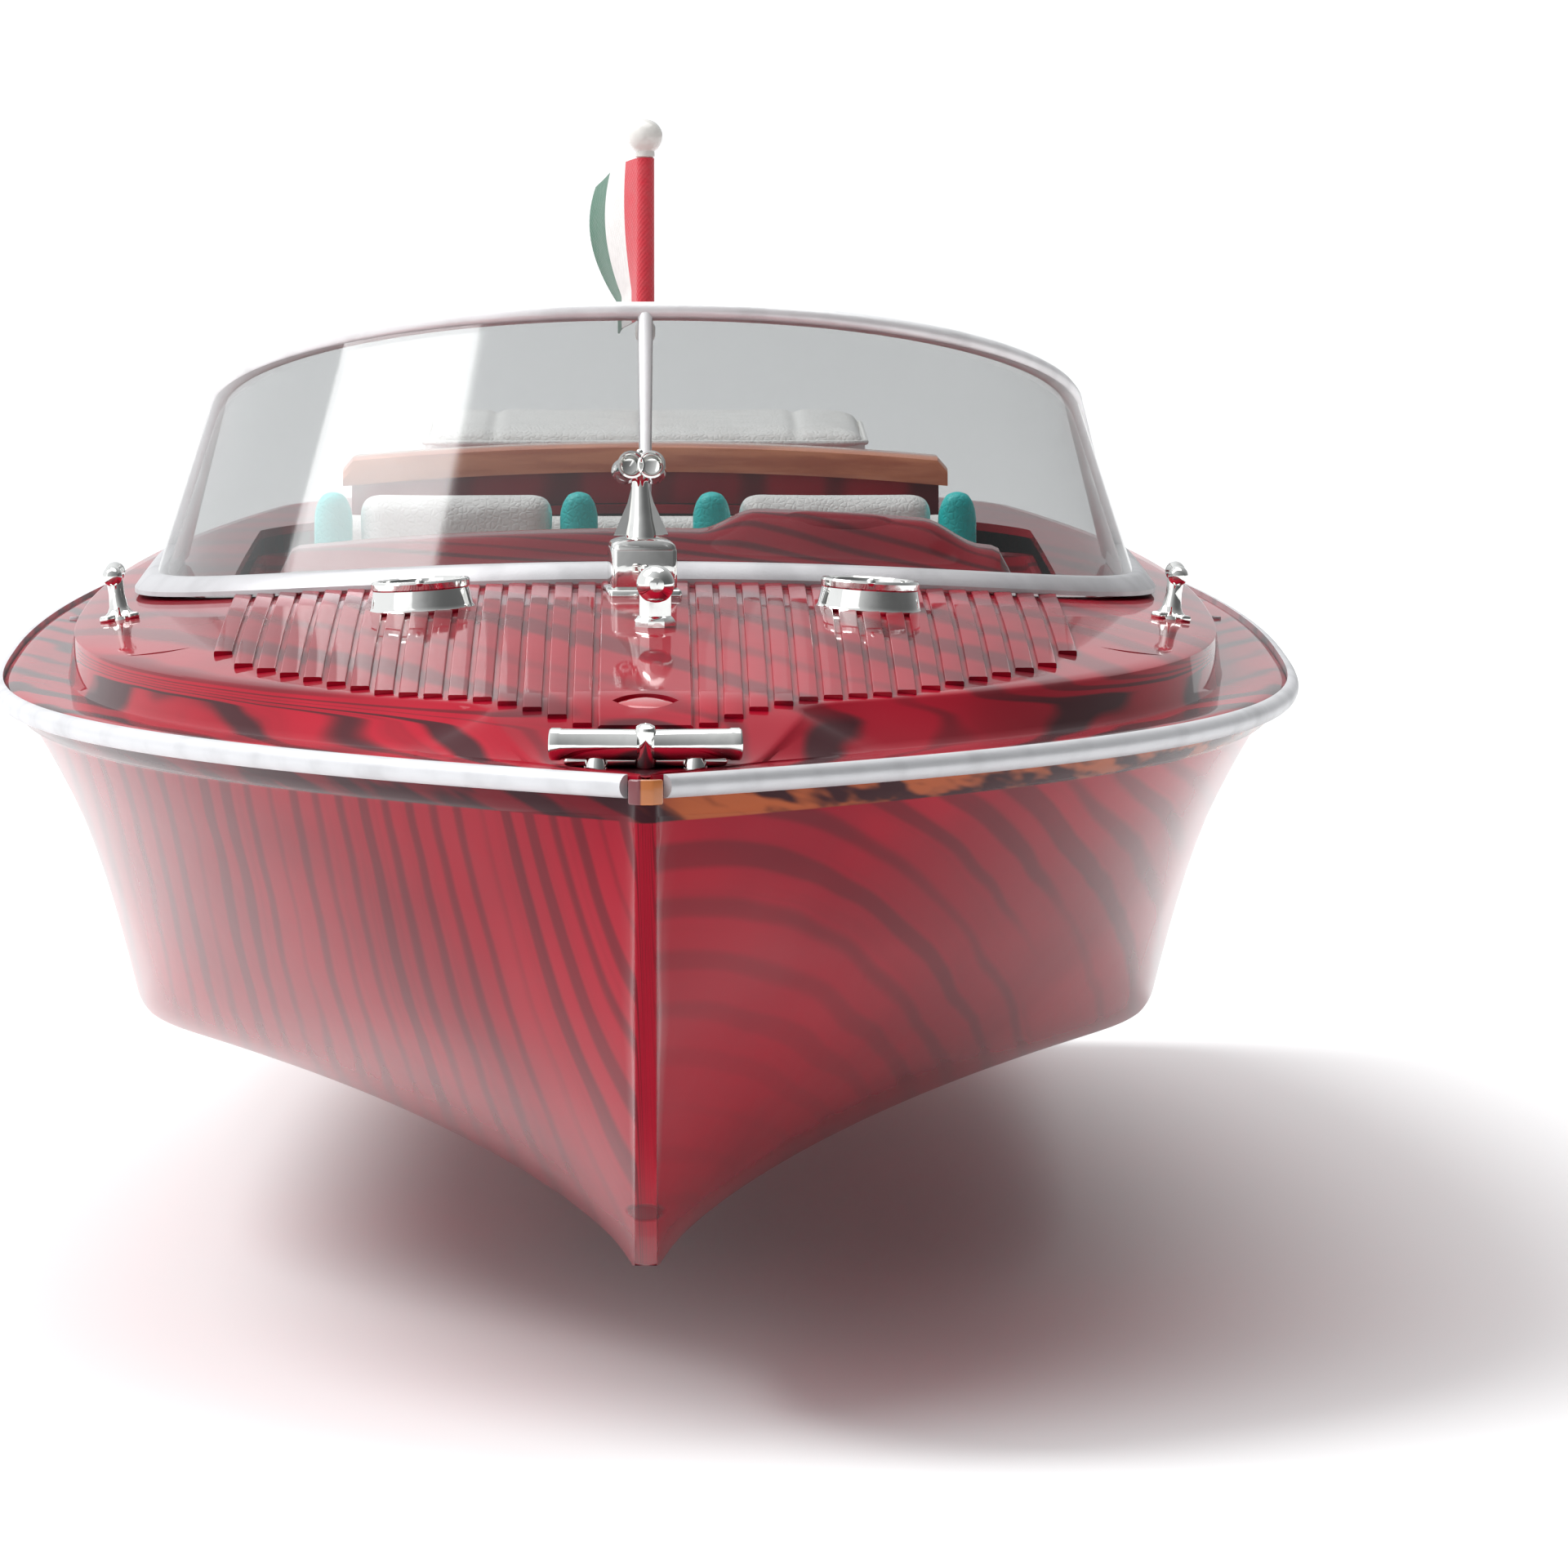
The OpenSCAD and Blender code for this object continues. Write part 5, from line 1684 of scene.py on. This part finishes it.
sheet_shape, sheet_uvs = flag_sheet()
flag_mesh = bpy.data.meshes.new("flag_bunting")
flag_mesh.from_pydata([afloat(*p) for p in moved(sheet_shape, *at_staff)[0]], [], sheet_shape[1])
cut_map = flag_mesh.uv_layers.new(name="cut")
for loop in flag_mesh.loops:
    cut_map.data[loop.index].uv = sheet_uvs[loop.vertex_index]
flag_mesh.shade_smooth()
flag = placed("flag_bunting", flag_mesh)
flag_mesh.materials.append(bunting.material)
thickness = flag.modifiers.new("cloth thickness", "SOLIDIFY")
thickness.thickness, thickness.offset = FLAG_T * MM, 0
settle(flag)
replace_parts(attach(flag, "hull"), "flag")


# Aft hatch: a printed board on two pin hinges, held down by a turn latch, with a stuffed sunpad
# buttoned to it. It lifts forward to reach the switch, the servo and the battery lead.

HINGE_X, HINGE_Y, HINGE_Z = 16, 337, 10.7
BOARD_HALF, BOARD_FROM, BOARD_TO = 32, 340, 406
cover_xs = [mix(-BOARD_HALF, BOARD_HALF, i / 64) for i in range(65)]
cover_ys = [mix(BOARD_FROM, BOARD_TO, i / 66) for i in range(67)]


def board_edge(x, y):
    """How far the board's upper face falls at its rounded edge."""
    inside = min(BOARD_HALF - abs(x), y - BOARD_FROM, BOARD_TO - y)
    return 0.7 * (1 - math.sqrt(max(0.0, 1 - (1 - clamped(inside / 1.1)) ** 2)))


cover_top = [[(x, y, deck_z(x, y) + 1.9 - board_edge(x, y)) for x in cover_xs] for y in cover_ys]
cover_under = [[(x, y, deck_z(x, y) + 0.4) for x in cover_xs] for y in cover_ys]
knuckles = []
for x in (-HINGE_X, HINGE_X):
    knuckle = turned(
        [(0.82, -2), (1.3, -2), (1.4, -1.85), (1.4, 1.85), (1.3, 2), (0.82, 2), (0.82, -2)], 32
    )
    knuckles.append(moved(knuckle, shift(x, HINGE_Y, HINGE_Z), turn(90, "Y")))
    knuckles.append(moved(rounded_box((4, 9, 2.0), 0.3), shift(x, HINGE_Y + 5.2, HINGE_Z - 0.9)))
cover = built("hatch_board", wall(cover_top, cover_under), deck_finish("hatch_mahogany", 3.6))
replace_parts(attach(cover, "hatch"), "hatch_cover")
arms = built("hatch_arms", joined(*knuckles), screen_silver)
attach(arms, "hatch")

PAD = (52, 52, 5.5)
at_pad = (shift(0, 374, deck_z(0, 348) + 1.95),)
cushion(
    "sunpad_cushion", PAD, 1.7, [-17.3, 0, 17.3], white_vinyl, 0.7, 0.7, "hatch", "white_vinyl",
    ["sunpad"], *at_pad
)
pad_piping = built("sunpad_piping", moved(piping(PAD, 2.8, 4.0), *at_pad), white_vinyl)
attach(pad_piping, "hatch")


def refinish(finish, slot, *nodes):
    """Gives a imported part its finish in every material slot."""
    for name in nodes:
        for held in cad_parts[name].material_slots:
            held.material = finish.material


refinish(screen_silver, "silver", "hinge_leaf", "hinge_pin", "hatch_latch")


# Running gear: ground steel shafts in brass tubes and steel struts, three-bladed bronze screws
# that turn outwards, and a brass rudder under a short brass tube.

SHAFT_X, SHAFT_SLOPE = 20, 14.2
SCREW_Y, SCREW_Z, SCREW_R = 392, -54, 8


def metal(name, tint, roughness, brush=0.0):
    """Bare metal: fine brushing along the boat and patches of tarnish."""
    finish = Finish(name, Metallic=1.0, Roughness=roughness)
    x, y, z = finish.axes()
    brushed = finish.noise(finish.vector(x * 9, y * 0.6, z * 9), 1.0, 2.0)
    tarnish = finish.noise(finish.place, 130.0, 3.0)
    dull = tuple(c * 0.55 for c in tint)
    finish.feed(
        Base_Color=finish.blend(tarnish.rising(0.45, 0.8) * 0.7, tint, dull),
        Roughness=roughness * 0.8 + tarnish * roughness * 0.6,
    )
    finish.relief(brushed, 0.02 + brush)
    return finish


steel = metal("ground_steel", (0.62, 0.63, 0.65), 0.22, 0.02)
brass = metal("drawn_brass", (0.78, 0.55, 0.22), 0.26, 0.02)
bronze = metal("cast_bronze", (0.70, 0.42, 0.17), 0.3, 0.05)
refinish(
    steel, "steel", "propeller_shaft_port", "propeller_shaft_starboard", "shaft_strut_port",
    "shaft_strut_starboard", "pushrod"
)
refinish(brass, "brass", "stern_tube_port", "stern_tube_starboard", "rudder_tube", "rudder")


def blade(side, angle):
    """One screw blade: a twisted leaf, thick at its root and thin at its tip."""
    upper, lower = [], []
    for i in range(15):
        s = i / 14
        r = mix(1.5, SCREW_R - 0.12, s)
        pitch = math.radians(mix(52, 26, s)) * side
        chord = 3.3 * math.sqrt(max(0.0, 1 - (1.9 * s - 0.95) ** 2 * 0.98)) * (0.8 + 0.2 * s) + 0.35
        thick = mix(0.5, 0.12, s)
        rows = ([], [])
        for j in range(13):
            c = j / 12 * 2 - 1
            along = chord * c
            belly = thick * (1 - c * c) + 0.03
            for row, sign in zip(rows, (1, -1)):
                u = along * math.cos(pitch) - sign * belly * math.sin(pitch)
                w = along * math.sin(pitch) + sign * belly * math.cos(pitch)
                row.append((r * math.cos(u / r), r * math.sin(u / r), max(-2.8, min(2.8, w))))
        upper.append(rows[0])
        lower.append(rows[1])
    return moved(wall(upper, lower), turn(angle, "Z"))


hub_profile = [
    (0.001, -5), (0.6, -4.95), (1.2, -4.6), (1.7, -3.8), (1.95, -3), (2, -2.6), (2, 2.8), (1.85, 3),
    (0.001, 3)
]
for side, name in ((PORT, "port"), (STARBOARD, "starboard")):
    on_shaft = (shift(side * SHAFT_X, SCREW_Y, SCREW_Z), turn(90 - SHAFT_SLOPE, "X"))
    parts = [blade(side, a) for a in (90, 210, 330)] + [turned(hub_profile, 32)]
    screw = built(f"propeller_cast_{name}", moved(joined(*parts), *on_shaft), bronze)
    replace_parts(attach(screw, f"{name}_drive"), f"propeller_{name}")


# Inside the hull: two small electric motors on a moulded mount, a servo with nylon arms, a
# shrink-wrapped battery in a tray under a strap, a receiver board and a slide switch.


def moulded(name, colour, roughness=0.42, texture=700.0):
    """Plain moulded plastic: a fine spark texture and slight unevenness."""
    finish = Finish(name, Roughness=roughness, Coat_Weight=0.1)
    fine, broad = finish.noise(finish.place, texture, 2.0), finish.noise(finish.place, 60.0, 2.0)
    lighter = tuple(min(1.0, c * 1.35 + 0.01) for c in colour)
    finish.feed(
        Base_Color=finish.blend(broad * 0.6, colour, lighter), Roughness=roughness - 0.08 + fine * 0.16
    )
    finish.relief(fine, 0.04)
    return finish


black = moulded("black_plastic", (0.018, 0.018, 0.020))
nylon = moulded("white_nylon", (0.72, 0.71, 0.68), 0.36)
servo_blue = moulded("servo_blue", (0.015, 0.05, 0.22), 0.3)
red_cap = moulded("red_cap", (0.45, 0.01, 0.012), 0.35)
rubber = moulded("dull_rubber", (0.03, 0.03, 0.032), 0.7, 400.0)
webbing = Finish("woven_strap", Roughness=0.8)
x, y, z = webbing.axes()
ribs = (x * 5.2).maths("SINE") * (y * 4.4).maths("SINE")
webbing.feed(
    Base_Color=webbing.blend(ribs.rising(-0.6, 0.6), (0.012, 0.012, 0.014), (0.035, 0.035, 0.04))
)
webbing.relief(ribs, 0.12)
sleeve = Finish("shrink_sleeve", Roughness=0.25, Coat_Weight=0.4)
puckers = sleeve.noise(sleeve.place, 110.0, 3.0)
sleeve.feed(Base_Color=sleeve.blend(puckers.rising(0.3, 0.75), (0.01, 0.10, 0.34), (0.02, 0.15, 0.46)))
sleeve.relief(puckers, 0.25)
board = Finish("circuit_board", Roughness=0.4, Coat_Weight=0.3)
x, y, z = board.axes()
traces = ((x * 1.7).maths("SINE") * (y * 1.3).maths("COSINE")).rising(-0.05, 0.1)
high = z.rising(-33.2, -33.0)
green = board.blend(traces, (0.004, 0.08, 0.03), (0.012, 0.16, 0.06))
board.feed(Base_Color=board.blend(high, green, (0.02, 0.02, 0.022)))
board.relief(traces, 0.04)
motor_steel = metal("motor_steel", (0.55, 0.55, 0.56), 0.3)

refinish(motor_steel, "steel", "motor_can_port", "motor_can_starboard")
refinish(black, "black_plastic", "motor_mount", "battery_tray", "switch_body")
refinish(rubber, "rubber", "shaft_coupling_port", "shaft_coupling_starboard")
refinish(nylon, "white_plastic", "tiller", "servo_horn")
refinish(servo_blue, "blue_sleeve", "servo_body")
refinish(sleeve, "blue_sleeve", "battery_pack")
refinish(webbing, "black_plastic", "battery_strap")
refinish(board, "board_green", "receiver")
refinish(red_cap, "dark_red", "switch_slider", "wiring")

contact_tree = Growth("board_contacts", {"Length": 6.0 * MM, "Width": 0.9 * MM})
bar_size = contact_tree.add(
    "ShaderNodeCombineXYZ", {},
    {0: contact_tree.given("Width"), 1: contact_tree.given("Length"), 2: 0.12 * MM}
)
contact = contact_tree.add("GeometryNodeMeshCube", {}, {"Size": bar_size.outputs[0]})
contact_row = contact_tree.add(
    "GeometryNodeInstanceOnPoints", {},
    {"Points": contact_tree.given("Geometry"), "Instance": contact.outputs[0]}
)
contact_tree.finish(contact_row.outputs[0], black)
pins = contact_tree.grow("receiver_contacts", [afloat(-27 + 1.6 * i, 367, -29.75) for i in range(6)])
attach(pins, "hull")


# Camera, floor and light: a plain white sweep in a bright room that dims to port, under a soft
# sun high to starboard, with a broad panel off the starboard bow and another overhead.

floor_mesh = bpy.data.meshes.new("studio_floor")
floor_mesh.from_pydata([(-14, -6, 0), (14, -6, 0), (14, 16, 0), (-14, 16, 0)], [], [(0, 1, 2, 3)])
floor = placed("studio_floor", floor_mesh)
floor_paint = Finish("studio_white", Roughness=0.9, Base_Color=(0.93, 0.935, 0.935, 1))
floor_mesh.materials.append(floor_paint.material)

world = bpy.data.worlds.new("studio_room")
bpy.context.scene.world = world
world.use_nodes = True
room = world.node_tree
sight = room.nodes.new("ShaderNodeTexCoord")
toward = room.nodes.new("ShaderNodeVectorMath")
toward.operation = "DOT_PRODUCT"
toward.inputs[1].default_value = (-0.7, 0.25, 0.15)
room.links.new(sight.outputs["Generated"], toward.inputs[0])
shade = room.nodes.new("ShaderNodeMapRange")
shade.interpolation_type = "SMOOTHSTEP"
for socket, value in ((1, -0.7), (2, 0.7), (3, 0.12), (4, 1.05)):
    shade.inputs[socket].default_value = value
room.links.new(toward.outputs["Value"], shade.inputs[0])
background = room.nodes["Background"]
room.links.new(shade.outputs[0], background.inputs["Strength"])
background.inputs["Color"].default_value = (0.97, 0.985, 1.0, 1)


def soft_panel(name, place, aim, size, power):
    light = bpy.data.lights.new(name, "AREA")
    light.shape, light.size, light.size_y, light.energy = "RECTANGLE", size[0], size[1], power
    lamp = placed(name, light)
    lamp.location = place
    lamp.rotation_euler = (Vector(aim) - Vector(place)).to_track_quat("-Z", "Y").to_euler()


soft_panel("bow_panel", (-1.12, -1.2, 0.55), (0, -0.1, 0.03), (1.3, 1.6), 3.4)
soft_panel("top_panel", (0.1, 0.25, 1.3), (0, 0, 0), (1.1, 0.9), 6)
key = bpy.data.lights.new("key_light", "SUN")
key.energy, key.angle = 2.1, math.radians(36)
key_lamp = placed("key_light", key)
key_lamp.rotation_euler = Vector((0.60, -0.12, -0.80)).to_track_quat("-Z", "Y").to_euler()

camera_data = bpy.data.cameras.new("portrait_lens")
camera_data.lens, camera_data.sensor_width = 335.6, 36
camera_data.clip_start, camera_data.clip_end = 0.05, 60
camera = placed("portrait_lens", camera_data)
camera.location = (0, -1.5438, 0.1559)
camera.rotation_euler = (math.radians(90 - 4.06), 0, -math.radians(0.544))
bpy.context.scene.camera = camera
bpy.context.scene.view_settings.view_transform = "Standard"
